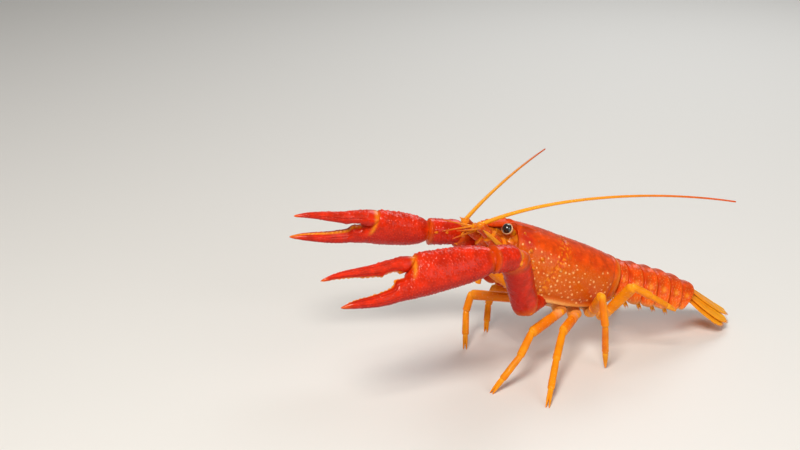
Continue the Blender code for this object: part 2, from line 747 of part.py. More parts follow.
def claw_frame(arm):
    """The claw's axes: ahead towards the tip, across towards the moving finger, and out of its face."""
    wrist = arm["joints"][2]
    ahead = (arm["tip"] - wrist).normalized()
    side = 1 if wrist.y > 0 else -1
    level = Vector((0, 0, 1)).cross(ahead).normalized() * -side
    roll = math.radians(arm["roll"])
    upright = (level.cross(ahead) * side).normalized()
    if upright.z < 0:
        upright = -upright
    across = level * math.cos(roll) + upright * math.sin(roll)
    return wrist, ahead, across, ahead.cross(across)


def palm_length(x, arm):
    """A distance along the claw, with the palm's share of its length changed."""
    share = arm["palm_share"]
    if x <= HINGE:
        return x * share
    return HINGE * share + (x - HINGE) * (arm["length"] - HINGE * share) / (PALM[-1][0] - HINGE)


def claw_piece(name, table, origin, ahead, across, out, size, around, arm=None):
    """A part of the claw from the table of its edges."""

    def surface(row, angle):
        x, low, high, thick = table[row]
        droop = 0.0
        if arm:
            x = palm_length(x, arm)
            droop = math.tan(math.radians(arm["bend"])) * max(0.0, x - palm_length(HINGE, arm))
        middle, half = (low + high) / 2 - droop, (high - low) / 2
        y = middle + half * power(math.cos(angle), 0.9)
        z = thick * power(math.sin(angle), 0.95)
        return origin + (ahead * x + across * y + out * z) * size

    return skin(name, surface, len(table) - 1, around, "claw")


def make_arm(word, arm, underside, shell, face):
    """The claw arm: base, upper arm, wrist piece, palm with its fixed finger, and moving finger."""
    side = 1 if word == "left" else -1
    shoulder = on_trunk(mirrored(SHOULDER, side))
    elbow_low, elbow_high, wrist = arm["joints"]
    origin, ahead, across, out = claw_frame(arm)
    size = arm["size"]
    flat = (elbow_high - elbow_low).cross(wrist - elbow_high).normalized()
    joints = (shoulder, elbow_low, elbow_high, wrist)
    axes = [(b - a).normalized() for a, b in zip(joints, joints[1:])]
    base = tube(
        f"arm_base_{word}",
        limb_stations([shoulder, elbow_low], [ARM_RADII[0]], after=axes[1]),
        flat, 12, "claw",
    )
    base = clear_of(base, underside, shell, face)
    upper = tube(
        f"upper_arm_{word}",
        limb_stations([elbow_low, elbow_high], [ARM_RADII[1]], before=axes[0], after=axes[2]),
        flat, 14, "claw",
    )
    wrist_piece = tube(
        f"wrist_{word}",
        limb_stations([elbow_high, wrist], [ARM_RADII[2]], before=axes[1], after=ahead),
        flat, 14, "claw",
    )
    start = origin + ahead * (JOINT_GAP / 2)
    palm = claw_piece(f"palm_{word}", PALM, start, ahead, across, out, size, 18, arm)
    palm = clear_of(palm, wrist_piece)
    turn = Matrix.Rotation(math.radians(arm["gape"] - arm["bend"]), 3, out)
    pivot = start + (ahead * palm_length(HINGE, arm) + across * HINGE_HEIGHT) * size
    finger_ahead, finger_across = turn @ ahead, turn @ across
    finger_origin = pivot + ahead * (JOINT_GAP / 2) - finger_across * (HINGE_HEIGHT * size)
    finger_axes = (finger_ahead, finger_across, out)
    finger = claw_piece(f"claw_finger_{word}", DACTYL, finger_origin, *finger_axes, size, 14)
    finger = clear_of(finger, palm)
    return [base, upper, wrist_piece, palm, finger]


def make_leg(name, underside, shell):
    """A walking leg in two nodes: the upper leg to the knee, and the lower leg to the foot."""
    station_x, knee, wrist, foot, pincer = LEGS[name]
    side = 1 if name.startswith("left") else -1
    depth = LEG_ROOT_DEPTH + REAR_LEG_LIFT * (station_x < 8)
    root = on_trunk((station_x, side * (LEG_ROOT_SIDE - 2.0), depth + 2.0))
    hip = on_trunk((station_x, side * (LEG_ROOT_SIDE + 2.6), depth - 0.4))
    knee, wrist = Vector(knee), Vector(wrist)
    foot = Vector((foot[0], foot[1], RAISED_FOOT.get(name, -FOOT_SUNK)))
    ankle = wrist.lerp(foot, ANKLE_SHARE)
    flat = Vector((0, 0, 1)).cross(foot - knee).normalized()
    if flat.length < 0.5:
        flat = Vector((1, 0, 0))
    lower_axis = (wrist - knee).normalized()
    upper = tube(
        f"{name}_upper",
        limb_stations([root, hip, knee], [(HIP_RADIUS, HIP_RADIUS), LEG_RADII[:2]], after=lower_axis),
        Vector((0.3, 0, 1)), 10, "leg",
    )
    upper = clear_of(upper, underside, shell)
    radii = [(LEG_RADII[2], LEG_RADII[2]), (LEG_RADII[3] * 1.1, LEG_RADII[3])]
    before = (knee - hip).normalized()
    points = [knee, wrist, ankle]
    rings = limb_stations(points, radii, before=before)
    toe_axis = (foot - ankle).normalized()
    toe_rows = ((0.12, 0.9), (0.5, 0.62), (1.0, FOOT_RADIUS / LEG_RADII[3]))
    spread = flat * (FINGER_SPREAD / 2)
    broad, deep = FINGER_SHARES if pincer else (1.0, 1.0)

    def toe_ring(share, wide, aside):
        centre = ankle.lerp(foot, share) + spread * aside
        return station(centre, toe_axis, toe_axis, broad * wide * LEG_RADII[3], deep * wide * LEG_RADII[3])

    for share, wide in toe_rows:
        rings.append(toe_ring(share, wide, min(1.0, share * 3) if pincer else 0.0))
    lower = tube(f"{name}_lower", rings, flat, 8, "leg")
    if pincer:
        other_rows = ((-0.12, 0.9), *toe_rows)
        other = [toe_ring(share, wide, -min(1.0, 0.3 + share * 3)) for share, wide in other_rows]
        lower = fused(lower, [tube("toe", other, flat, 8, "leg")])
    return [upper, flat_footed(lower)]


def main():
    clear_scene()
    shell = make_shell()
    face = make_face(shell)
    _, uncut = make_underside(shell, face)
    segments, frames = make_tail(shell)
    make_fan(frames, segments[-1])
    for word, side in (("left", 1), ("right", -1)):
        stalk, eye = make_eye(word, side, shell, face)
        base, _, _ = make_antenna(word, side, shell, face, eye, stalk)
        make_feeler(word, side, face, base, shell)
        make_maxilliped(word, side, uncut, face, shell)
    for word, arm in (("left", LEFT_ARM), ("right", RIGHT_ARM)):
        make_arm(word, arm, uncut, shell, face)
    for name in LEGS:
        make_leg(name, uncut, shell)
    bpy.data.objects.remove(uncut)


main()
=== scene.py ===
# %% [markdown]
# # A red swamp crayfish at life size
#
# The crayfish stands with its head raised and both claws held out in front of it. A crayfish wears its
# skeleton outside: a chain of hard shells that meet at soft joints. Each shell is built here as a skin
# of its own, over the solids that already say where it sits and how large it is.

# %% Load the solids
import math

import bmesh
import bpy
import numpy as np
from mathutils import Matrix, Vector, noise


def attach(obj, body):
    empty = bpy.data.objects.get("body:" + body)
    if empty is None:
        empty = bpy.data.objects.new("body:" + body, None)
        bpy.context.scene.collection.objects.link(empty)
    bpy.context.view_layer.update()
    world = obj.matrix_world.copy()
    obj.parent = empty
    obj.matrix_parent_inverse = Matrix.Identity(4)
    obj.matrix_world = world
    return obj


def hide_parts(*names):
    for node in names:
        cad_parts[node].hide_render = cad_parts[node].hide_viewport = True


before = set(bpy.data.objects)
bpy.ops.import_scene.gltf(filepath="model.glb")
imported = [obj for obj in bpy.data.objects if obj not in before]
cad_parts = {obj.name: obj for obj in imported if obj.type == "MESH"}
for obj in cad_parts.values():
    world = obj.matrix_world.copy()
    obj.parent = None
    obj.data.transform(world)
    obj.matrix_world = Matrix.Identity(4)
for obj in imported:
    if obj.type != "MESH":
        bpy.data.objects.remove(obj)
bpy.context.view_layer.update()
print("solids:", len(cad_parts))

# %% [markdown]
# The body is measured in millimetres, because a crayfish is small and its sizes are then easy to read.
# Its trunk is pitched head up and rolled a little, so points on it are given as a distance ahead of the
# shell's rear edge, a distance to the left and a height, and one function turns them into places.

# %% Name the pose
MM = 0.001
TURN = math.tau
ORIGIN = np.array((11.91, -8.6, 0.0))
TRUNK_REAR = np.array((-15.8, 0.0, 22.5))
TRUNK_PITCH = math.radians(22.0)
ROLL = math.radians(8.0)
SIDES = (("left", 1), ("right", -1))
LEVEL = np.array((0.0, 1.0, 0.0))


def held(pitch, roll=ROLL):
    """The directions ahead, to the left and up of a part of the body that is held at this pitch."""
    pitch = np.asarray(pitch, float)
    none = np.zeros_like(pitch)
    ahead = np.stack((np.cos(pitch), none, np.sin(pitch)), -1)
    upright = np.stack((-np.sin(pitch), none, np.cos(pitch)), -1)
    left = LEVEL * math.cos(roll) + upright * math.sin(roll)
    return ahead, left, upright * math.cos(roll) - LEVEL * math.sin(roll)


def on_trunk(ahead_by, left_by, up_by):
    """Places of the trunk's own points, in the floor's frame."""
    ahead, left, up = held(TRUNK_PITCH)
    x, y, z = (np.asarray(value, float)[..., None] for value in (ahead_by, left_by, up_by))
    return TRUNK_REAR + ahead * x + left * y + up * z


print("rostrum tip at", on_trunk(52.0, 0.0, 8.3).round(1), "mm")

# %% [markdown]
# A shell has no straight lines, so its width, top and edge are each a smooth curve through a few
# named stations. The curve is a cubic between each two rows of a table, with the slopes of its neighbours.


# %% Draw a smooth curve through a table
def curve(table, x, column=1):
    """Smooth values between the rows of a table, whose first column is the distance."""
    rows = np.array([(row[0], row[column]) for row in table], float)
    xs, ys = rows[:, 0], rows[:, 1]
    x = np.clip(x, xs[0], xs[-1])
    at = np.clip(np.searchsorted(xs, x, side="right") - 1, 0, len(xs) - 2)
    before, after = np.maximum(at - 1, 0), np.minimum(at + 2, len(xs) - 1)
    slope0 = (ys[at + 1] - ys[before]) / (xs[at + 1] - xs[before])
    slope1 = (ys[after] - ys[at]) / (xs[after] - xs[at])
    span = xs[at + 1] - xs[at]
    t = (x - xs[at]) / span
    ease = t * t * (3 - 2 * t)
    return ys[at] + (ys[at + 1] - ys[at]) * ease + span * t * (1 - t) * (slope0 * (1 - t) - slope1 * t)


def power(value, exponent):
    """A value to a power, with its sign kept."""
    return np.sign(value) * np.abs(value) ** exponent


def smooth(value, low, high):
    """A soft step from 0 at low to 1 at high."""
    t = np.clip((value - low) / (high - low), 0, 1)
    return t * t * (3 - 2 * t)


def between(value, low, risen, falling, high):
    """1 from risen to falling, with a soft step down to 0 at low and at high."""
    return smooth(value, low, risen) * (1 - smooth(value, falling, high))


def share_of(value, top=1.0):
    """The value, kept between 0 and the top."""
    return np.clip(value, 0, top)


def ridge(value, middle, width):
    """A bell that is 1 at the middle and fades away on both sides."""
    return np.exp(-(((value - middle) / width) ** 2))


print("curve check:", float(curve(((0, 0), (1, 1), (2, 4)), 1.5)))

# %% [markdown]
# Every skin starts as a flat grid that is bent round into a tube, because a grid keeps its rows along
# the limb and its columns round it, and relief can then be laid on it by row and column. The seam is
# welded, the open ends are filled, and four marks are kept on each corner for the finishes: gold at soft
# joints, deep where the red darkens, pale on the grains, and side for the flanks. On the claws the deep
# mark along the lower edge and the side mark are painted shade, and so is the side mark on the fan blades.

# %% Bend a grid into a skin
MARKS = ("gold", "deep", "pale", "side")
WELD = 2e-7


def sheet_of(along, around, low=0.0, high=1.0, rounding=0.0):
    """Rows and angles of a grid. Rounding draws rows closer together at both ends."""
    t = np.linspace(0, 1, along + 1)
    t = t * (1 - rounding) + (0.5 - 0.5 * np.cos(np.pi * t)) * rounding
    return np.meshgrid(low + (high - low) * t, np.arange(around) / around * TURN, indexing="ij")


def outward(points):
    """The direction straight out of a skin at each of its corners."""
    down = np.gradient(points, axis=0)
    across = np.roll(points, -1, 1) - np.roll(points, 1, 1)
    out = np.cross(across, down)
    size = np.linalg.norm(out, axis=-1, keepdims=True)
    out = out / np.maximum(size, 1e-9)
    away = points - points.mean(1, keepdims=True)
    return out if (out * away).sum() >= 0 else -out


def raise_by(points, lift, lean=None, leaning=0.0):
    """Lifts a skin by a height at each corner, and lets it lean along a direction too."""
    moved = points + outward(points) * lift[..., None]
    if lean is not None:
        moved = moved + np.asarray(lean) * (lift * leaning)[..., None]
    return moved


def add_skin(mesh, points, marks=None):
    """Adds a bent grid to a mesh, welded along its seam and closed at its ends."""
    along, around = points.shape[0] - 1, points.shape[1]
    made = bmesh.ops.create_grid(mesh, x_segments=around, y_segments=along, size=0.5)["verts"]
    layers = [(mesh.verts.layers.float.get(word), (marks or {}).get(word)) for word in MARKS]
    places = (points - ORIGIN) * MM
    for vertex in made:
        row = round((vertex.co.y + 0.5) * along)
        column = round((vertex.co.x + 0.5) * around) % around
        vertex.co = places[row, column]
        for layer, values in layers:
            if values is not None:
                vertex[layer] = values[row, column]
    bmesh.ops.remove_doubles(mesh, verts=made, dist=WELD)
    kept = [vertex for vertex in made if vertex.is_valid]
    edges = {edge for vertex in kept for edge in vertex.link_edges}
    bmesh.ops.dissolve_degenerate(mesh, edges=list(edges), dist=WELD)
    edges = {edge for vertex in kept if vertex.is_valid for edge in vertex.link_edges if edge.is_boundary}
    bmesh.ops.holes_fill(mesh, edges=list(edges), sides=0)


def new_mesh():
    mesh = bmesh.new()
    for word in MARKS:
        mesh.verts.layers.float.new(word)
    return mesh


def place(mesh, name, finish, slot, *nodes):
    """Makes a finished piece of a mesh, riding on the body and standing for its solids."""
    bmesh.ops.recalc_face_normals(mesh, faces=mesh.faces)
    if mesh.calc_volume(signed=True) < 0:
        bmesh.ops.reverse_faces(mesh, faces=mesh.faces)
    data = bpy.data.meshes.new(name)
    mesh.to_mesh(data)
    mesh.free()
    data.shade_smooth()
    data.materials.append(finish)
    piece = bpy.data.objects.new(name, data)
    bpy.context.scene.collection.objects.link(piece)
    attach(piece, "root")
    if nodes:
        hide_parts(*nodes)
    print(name, len(data.polygons), "faces")


# %% [markdown]
# A crayfish's shell is covered with grains: small domes that lean forward, larger along the edges of the
# claws. They are real relief here, not only a bump in the finish, because they catch the light one by
# one. Each grain is a soft dome over the spot where it stands, and the spots are drawn evenly by area.

# %% Scatter grains over a skin
def spots_on(points, count, keep, spacing, seed):
    """Picks spots over a skin, evenly by area, where keep allows and no closer than the spacing."""
    draw = np.random.default_rng(seed)
    down = np.gradient(points, axis=0)
    across = np.roll(points, -1, 1) - np.roll(points, 1, 1)
    area = np.linalg.norm(np.cross(across, down), axis=-1) * keep
    chance = area.ravel() / area.sum()
    tries = draw.choice(area.size, size=count * 4, p=chance)
    flat = points.reshape(-1, 3)
    chosen = []
    for index in tries:
        spot = flat[index]
        if chosen and (((np.array(chosen) - spot) ** 2).sum(1) < spacing**2).any():
            continue
        chosen.append(spot)
        if len(chosen) == count:
            break
    return np.array(chosen)


def grains(points, spots, radius, height, seed=1):
    """How high the grains at these spots lift a skin, and how near each corner is to a grain's tip."""
    draw = np.random.default_rng(seed)
    lift, tips = np.zeros(points.shape[:2]), np.zeros(points.shape[:2])
    for spot in spots:
        size = draw.uniform(0.75, 1.25)
        apart = ((points - spot) ** 2).sum(-1) / (radius * size) ** 2
        near = apart < 1
        dome = (1 - apart[near]) ** 2
        lift[near] = np.maximum(lift[near], height * size * dome)
        tips[near] = np.maximum(tips[near], dome)
    return lift, tips


def rough(points, size, seed=0.0):
    """Soft uneven values between -1 and 1, with bumps of about this size in millimetres."""
    shift = Vector((seed, seed * 0.7, -seed))
    flat = [noise.noise(Vector(p) / size + shift) for p in points.reshape(-1, 3)]
    return np.array(flat).reshape(points.shape[:-1])


print("grain tools ready")

# %% [markdown]
# The finishes come next. Living shell is a layered thing: a clear hard coat over coloured chitin. So the
# base colour is mixed from the marks and from cloudy noise, fine pits and pores go into the bump, and a
# thin coat over all gives the wet gloss. The constants sit on the shader's own sockets.

# %% Mix the finishes
CLOUD_SIZE = 0.0026
PIT_SIZE = 0.0005
FRECKLE_SIZE = 0.0011
PIT_DEPTH = 0.00025
PIT_STRENGTH = 0.2


def shell_finish(name, main, flank, deep, gold, pale, gloss=0.36, coat=0.2, freckled=0.15, shade=0.62):
    """A coloured shell with cloudy tone, golden joints, pale grains and fine pits."""
    finish = bpy.data.materials.new(name)
    finish.use_nodes = True
    nodes, links = finish.node_tree.nodes, finish.node_tree.links
    shader = nodes["Principled BSDF"]
    where = nodes.new("ShaderNodeTexCoord").outputs["Object"]

    def mark(word):
        node = nodes.new("ShaderNodeAttribute")
        node.attribute_name = word
        return node.outputs["Fac"]

    def cloudy(size, detail):
        node = nodes.new("ShaderNodeTexNoise")
        node.inputs["Scale"].default_value = 1 / size
        node.inputs["Detail"].default_value = detail
        links.new(where, node.inputs["Vector"])
        return node.outputs["Fac"]

    def ramped(value, low, high, bottom=0.0, top=1.0):
        node = nodes.new("ShaderNodeMapRange")
        node.inputs["From Min"].default_value = low
        node.inputs["From Max"].default_value = high
        node.inputs["To Min"].default_value = bottom
        node.inputs["To Max"].default_value = top
        links.new(value, node.inputs["Value"])
        return node.outputs["Result"]

    def times(one, other):
        node = nodes.new("ShaderNodeMath")
        node.operation = "MULTIPLY"
        links.new(one, node.inputs[0])
        if isinstance(other, float):
            node.inputs[1].default_value = other
        else:
            links.new(other, node.inputs[1])
        return node.outputs["Value"]

    def mixed(share, under, over):
        node = nodes.new("ShaderNodeMix")
        node.data_type = "RGBA"
        links.new(share, node.inputs["Factor"])
        for value, socket in ((under, node.inputs[6]), (over, node.inputs[7])):
            if isinstance(value, tuple):
                socket.default_value = (*value, 1.0)
            else:
                links.new(value, socket)
        return node.outputs[2]

    broad, fine = cloudy(CLOUD_SIZE, 4.0), cloudy(PIT_SIZE, 2.0)
    darker = tuple(channel * shade for channel in main)
    colour = mixed(ramped(broad, 0.35, 0.68), darker, main)
    # The side mark mixes in the flank colour. On the claws and the fan blades this is painted shade on the
    # faces turned down.
    colour = mixed(times(mark("side"), ramped(broad, 0.2, 0.6, 0.55, 1.0)), colour, flank)
    freckle = nodes.new("ShaderNodeTexVoronoi")
    freckle.inputs["Scale"].default_value = 1 / FRECKLE_SIZE
    links.new(where, freckle.inputs["Vector"])
    freckles = ramped(freckle.outputs["Distance"], 0.34, 0.12)
    colour = mixed(times(times(freckles, mark("side")), freckled), colour, pale)
    colour = mixed(mark("deep"), colour, deep)
    colour = mixed(times(mark("gold"), ramped(fine, 0.25, 0.6, 0.75, 1.0)), colour, gold)
    colour = mixed(mark("pale"), colour, pale)
    links.new(colour, shader.inputs["Base Color"])
    links.new(ramped(fine, 0.3, 0.7, gloss - 0.07, gloss + 0.1), shader.inputs["Roughness"])
    skin_bump = nodes.new("ShaderNodeBump")
    skin_bump.inputs["Strength"].default_value = PIT_STRENGTH
    skin_bump.inputs["Distance"].default_value = PIT_DEPTH
    links.new(fine, skin_bump.inputs["Height"])
    links.new(skin_bump.outputs["Normal"], shader.inputs["Normal"])
    shader.inputs["Coat Weight"].default_value = coat
    shader.inputs["Coat Roughness"].default_value = 0.07
    shader.inputs["Specular IOR Level"].default_value = 0.08
    return finish


GOLD = (0.90, 0.30, 0.012)
BRIGHT_GOLD = (0.97, 0.42, 0.015)
CREAM = (0.86, 0.60, 0.34)
BLOOD = (0.34, 0.005, 0.003)
# Each finish: its main colour, then the flank's, the deep, the gold and the pale one.
SHELL = ((0.87, 0.078, 0.003), (0.62, 0.105, 0.003), (0.50, 0.018, 0.008), GOLD, (0.92, 0.54, 0.20))
TAIL_RINGS = ((0.87, 0.085, 0.003), (0.82, 0.11, 0.003), (0.52, 0.022, 0.004), GOLD, (0.88, 0.42, 0.12))
# On the claws the flank colour is painted shade: the darker red laid on the half that faces the floor.
CLAW = ((0.78, 0.026, 0.002), (0.44, 0.004, 0.001), BLOOD, GOLD, (0.84, 0.05, 0.012))
LEG = ((0.94, 0.30, 0.005), (0.86, 0.20, 0.004), (0.74, 0.12, 0.003), (0.95, 0.40, 0.015), (0.92, 0.62, 0.30))
WHIP = ((0.86, 0.20, 0.005), (0.70, 0.08, 0.004), (0.52, 0.04, 0.004), BRIGHT_GOLD, CREAM)
FACE = ((0.78, 0.10, 0.004), (0.62, 0.05, 0.004), (0.48, 0.02, 0.004), (0.95, 0.34, 0.012), CREAM)
# On the fan the flank colour is painted shade, laid on the blades' lower faces.
FAN = ((0.97, 0.33, 0.008), (0.84, 0.12, 0.004), (0.82, 0.12, 0.004), (1.0, 0.50, 0.02), CREAM)
BELLY = ((0.78, 0.50, 0.26), (0.74, 0.34, 0.12), (0.62, 0.22, 0.06), GOLD, (0.86, 0.70, 0.48))
shell_red = shell_finish("shell_red", *SHELL)
tail_red = shell_finish("tail_red", *TAIL_RINGS)
claw_red = shell_finish("claw_red", *CLAW, gloss=0.33, coat=0.3)
leg_orange = shell_finish("leg_orange", *LEG, freckled=0.06, shade=0.85)
feeler_gold = shell_finish("feeler_gold", *WHIP)
face_red = shell_finish("face_red", *FACE)
fan_orange = shell_finish("fan_orange", *FAN, freckled=0.0, shade=0.85)
belly_cream = shell_finish("belly_cream", *BELLY)
print("finishes:", len(bpy.data.materials))

# %% [markdown]
# The shell over head and thorax is one piece. Its section is an arch that tucks in towards the lower
# edge, and its rows sweep forward on the flank, so that the neck groove, which lies along one row, bends
# forward as it does in life. The beak between the eyes, the rostrum, grows out of its front.

# %% Name the shell's sizes
ORBIT = 41.5
ROSTRUM_TIP = 52.0
SHELL_HALF_WIDTH = ((0, 8.6), (5, 10.4), (12, 11.5), (20, 11.8), (28, 11.0), (34, 9.7), (39, 8.3), (42, 7.2))
SHELL_TOP = ((0, 8.9), (10, 10.2), (22, 10.9), (30, 11.4), (38, 11.4), (43, 11.0), (52, 8.3))
SHELL_EDGE = ((0, -4.6), (4, -7.4), (10, -9.4), (18, -10.3), (25, -10.2), (32, -8.2), (37, -5.8), (42, -3.4))
ROSTRUM_HALF_WIDTH = ((41, 4.2), (44, 3.5), (48, 2.6), (49.2, 2.5), (50.0, 1.0), (52, 0.02))
ROSTRUM_HALF_DEPTH = ((41, 1.2), (47, 1.15), (50, 0.75), (52, 0.02))
WIDEST_AT = 0.42
TUCK = 0.2
LIP_SINE = 0.78
UNDER_RECESS = 2.6
GROOVE_STATION = 23.0
GROOVE_SWEEP = 8.0
FRONT_SLANT = 3.5


def shell_rings(x, angle):
    """The shell's outline at a station: places, and how far down the flank each one is."""
    cosine, sine = np.cos(angle), np.sin(angle)
    top, edge, width = curve(SHELL_TOP, x), curve(SHELL_EDGE, x), curve(SHELL_HALF_WIDTH, x)
    middle = edge + WIDEST_AT * (top - edge)
    lip_cosine = math.sqrt(1 - LIP_SINE**2)
    side_share = np.clip(-sine / LIP_SINE, 0, 1)
    under_share = np.clip(np.abs(cosine) / lip_cosine, 0, 1)
    tucked = np.sign(cosine) * width * (1 - TUCK * side_share**2)
    y = np.where(sine >= 0, width * power(cosine, 0.9), tucked)
    arched = middle + (top - middle) * power(sine, 0.9)
    z = np.where(sine >= 0, arched, middle - (middle - edge) * side_share)
    under = -sine > LIP_SINE
    y = np.where(under, width * (1 - TUCK) * cosine / lip_cosine, y)
    down = np.where(under, 1.0, (top - z) / (top - edge))
    z = np.where(under, edge + UNDER_RECESS * (1 - under_share**3), z)
    tent = np.clip(np.minimum(x / GROOVE_STATION, (ORBIT - 2 - x) / (ORBIT - 2 - GROOVE_STATION)), 0, None)
    slant = np.clip((x - 30.0) / (ORBIT - 30.0), 0, None) ** 2
    ahead = x + GROOVE_SWEEP * np.clip(down, 0, 1) ** 1.2 * tent - FRONT_SLANT * down * slant
    return ahead, y, z, down


def rostrum_rings(x, angle):
    """The rostrum's outline: a shallow trough between two raised edges."""
    top, half_depth = curve(SHELL_TOP, x), curve(ROSTRUM_HALF_DEPTH, x)
    width = curve(ROSTRUM_HALF_WIDTH, x)
    y = width * power(np.cos(angle), 0.8)
    share = np.abs(y) / np.maximum(width, 0.05)
    upper = np.sin(angle) > 0
    z = top - half_depth + half_depth * power(np.sin(angle), 0.8)
    z = z + upper * half_depth * (0.45 * ridge(share, 0.86, 0.16) - 0.75 * (1 - share**2))
    return x, y, z


print("shell length", ROSTRUM_TIP, "mm")

# %% [markdown]
# The skin of the shell is three stretches of rows: the arch, the turned-in front rim behind the eyes, and
# the rostrum. Beside each place the function keeps its station, how far down the flank it is and how far
# to the left, because all the relief is laid on by these.

# %% Lay out the shell's rows
ARCH_ROWS = 205
RIM_ROWS = 22
BEAK_ROWS = 60
SHELL_COLUMNS = 240
RIM_DEPTH = 2.6
PAST_THE_ARCH = 60.0


def shell_rows():
    """The shell's places, with their stations, their shares down the flank and their sides."""
    x, angle = sheet_of(ARCH_ROWS, SHELL_COLUMNS, 0.0, ORBIT)
    ahead, y, z, down = shell_rings(x, angle)
    arch = on_trunk(ahead, y, z)
    rim_share, rim_angle = sheet_of(RIM_ROWS, SHELL_COLUMNS)
    brow = on_trunk(*rostrum_rings(np.full_like(rim_angle, ORBIT + 0.3), rim_angle))
    hollow = smooth(np.abs(y[-1]) + 3 * share_of(down[-1] - 0.3), 4.6, 6.4)
    inward = held(TRUNK_PITCH)[0] * -1
    rim = arch[-1] + (brow - arch[-1]) * (rim_share**1.6)[..., None]
    rim = rim + inward * (RIM_DEPTH * np.sin(np.pi * rim_share) ** 0.6 * hollow)[..., None]
    beak_x, beak_angle = sheet_of(BEAK_ROWS, SHELL_COLUMNS, ORBIT + 0.3, ROSTRUM_TIP)
    beak = on_trunk(*rostrum_rings(beak_x, beak_angle))
    skin = np.concatenate((arch, rim[1:-1], beak))

    def grown(values, fill=0.0):
        """The arch's values, carried on over the rim and the rostrum with one value."""
        return np.concatenate((values, np.full((len(skin) - len(values), SHELL_COLUMNS), fill)))

    back = grown((np.sin(angle) > 0).astype(float))
    return skin, grown(x, PAST_THE_ARCH), grown(down), grown(y, 9.0), grown(np.ones_like(x)), back


print("shell rows:", len(shell_rows()[0]))

# %% [markdown]
# The relief goes on afterwards: the neck groove, the fine line along the back, the rims, the ridges that
# run back from the rostrum, a few spines, and many small grains on the flanks. The same bells that raise
# or sink the skin also colour it, so that gold, red and white stand where the relief is.

# %% Make the shell
# Each pair of spines: its station, and how far down the flank it stands.
SHELL_SPINES = (
    (GROOVE_STATION - 1.2, 0.46), (30.0, 0.42), (33.5, 0.52), (31.5, 0.62), (35.5, 0.40), (38.6, 0.16),
)


def make_shell():
    skin, station, flank, aside, on_arch, back = shell_rows()
    side_y, leftward = np.abs(aside), np.sign(aside)
    neck = ridge(station, GROOVE_STATION, 0.65)
    groove = neck * (0.4 + 0.6 * smooth(flank, 0.04, 0.22)) * (1 - 0.45 * flank)
    areola = ridge(side_y, 0.42, 0.16) * between(station, 1.5, 3, 21, 23) * back
    rear_rim = 0.2 * ridge(station, 0.9, 0.7) - 0.25 * ridge(station, 2.3, 0.45) * (flank < 1)
    lip = ridge(flank, 0.985, 0.035) * on_arch
    brow_ridge = ridge(side_y, 4.0 - 0.04 * (station - 36), 0.45) * smooth(station, 33, 38) * back
    lift = -0.32 * groove + 0.05 * ridge(station, GROOVE_STATION - 1.5, 0.9) * (flank < 0.95)
    lift = lift - 0.28 * areola + rear_rim * on_arch + 0.28 * lip
    lift = lift + (0.42 * brow_ridge + 0.25 * ridge(station, ORBIT, 0.7)) * on_arch
    lift = lift - 0.2 * ridge(flank, 0.90, 0.03) * on_arch

    crowd = on_arch * (0.12 + smooth(flank, 0.12, 0.4)) * (flank < 0.97)
    crowd = crowd * smooth(station, 2.5, 4) * (station < ORBIT - 0.5)
    crowd = crowd * (1 - ridge(station, GROOVE_STATION, 0.8))
    small = spots_on(skin, 950, crowd, 0.62, 11)
    lift_small, tips_small = grains(skin, small, 0.34, 0.1, 12)
    dots = spots_on(skin, 190, crowd * smooth(flank, 0.2, 0.45) * (flank < 0.93), 1.35, 14)
    _, tips_dots = grains(skin, dots, 0.5, 0.1, 15)
    spines = []
    for at, down_to in SHELL_SPINES:
        for sign in (1, -1):
            miss = (station - at) ** 2 + ((flank - down_to) * 22) ** 2 + 1e3 * (leftward != sign)
            spines.append(skin.reshape(-1, 3)[miss.argmin()])
    lift_spine, tips_spine = grains(skin, np.array(spines), 0.75, 0.85, 13)
    lift = np.maximum(lift + lift_small, lift + lift_spine) + 0.05 * rough(skin, 3.0, 3.0)
    tall = raise_by(skin, lift, held(TRUNK_PITCH)[0], 0.7 * smooth(lift_spine, 0.05, 0.4))

    freckled = ridge(station, GROOVE_STATION, 2.0) * smooth(rough(skin, 0.8, 5.0), 0.1, 0.35)
    gold = share_of(0.75 * freckled + 0.8 * lip + 0.55 * ridge(station, 0.4, 0.9) * on_arch)
    patch = ridge(station, 37.0, 2.4) * ridge(flank, 0.26, 0.12) + 0.25 * groove
    clouds = smooth(rough(skin, 4.0, 9.0), 0.15, 0.5)
    pale = share_of(0.12 * smooth(tips_small, 0.25, 0.8) + 0.95 * smooth(tips_dots, 0.25, 0.7))
    white_lip = lip * ridge(station, 20.0, 9.0)
    mesh = new_mesh()
    add_skin(mesh, tall, {
        "gold": np.maximum(gold, 0.7 * smooth(tips_spine, 0.2, 0.7)),
        "deep": share_of(patch + 0.35 * areola + 0.25 * clouds, 0.85) * on_arch,
        "pale": np.maximum(pale * (flank < 0.98), 0.8 * white_lip),
        "side": smooth(flank, 0.16, 0.5) * on_arch,
    })
    place(mesh, "shell_plate", shell_red, "shell", "shell")


make_shell()

# %% [markdown]
# The tail is six rings, each an arched plate over the back that hangs down on both sides as a rounded
# flap. The front of a ring is narrower, because it slides under the ring before it when the tail bends.
# So each ring here starts inside its neighbour and ends in a rim that stands over the next.

# %% Make the rings of the tail
# Each ring: its length, half width, height, flap depth and downward pitch.
SEGMENTS = (
    (4.0, 8.2, 7.9, 3.0, 16.0),
    (5.5, 9.2, 7.8, 4.5, 16.5),
    (5.7, 9.2, 7.5, 4.6, 17.5),
    (5.5, 8.9, 7.1, 4.4, 18.5),
    (5.2, 8.4, 6.6, 4.0, 20.5),
    (5.8, 7.6, 6.0, 3.2, 25.0),
)
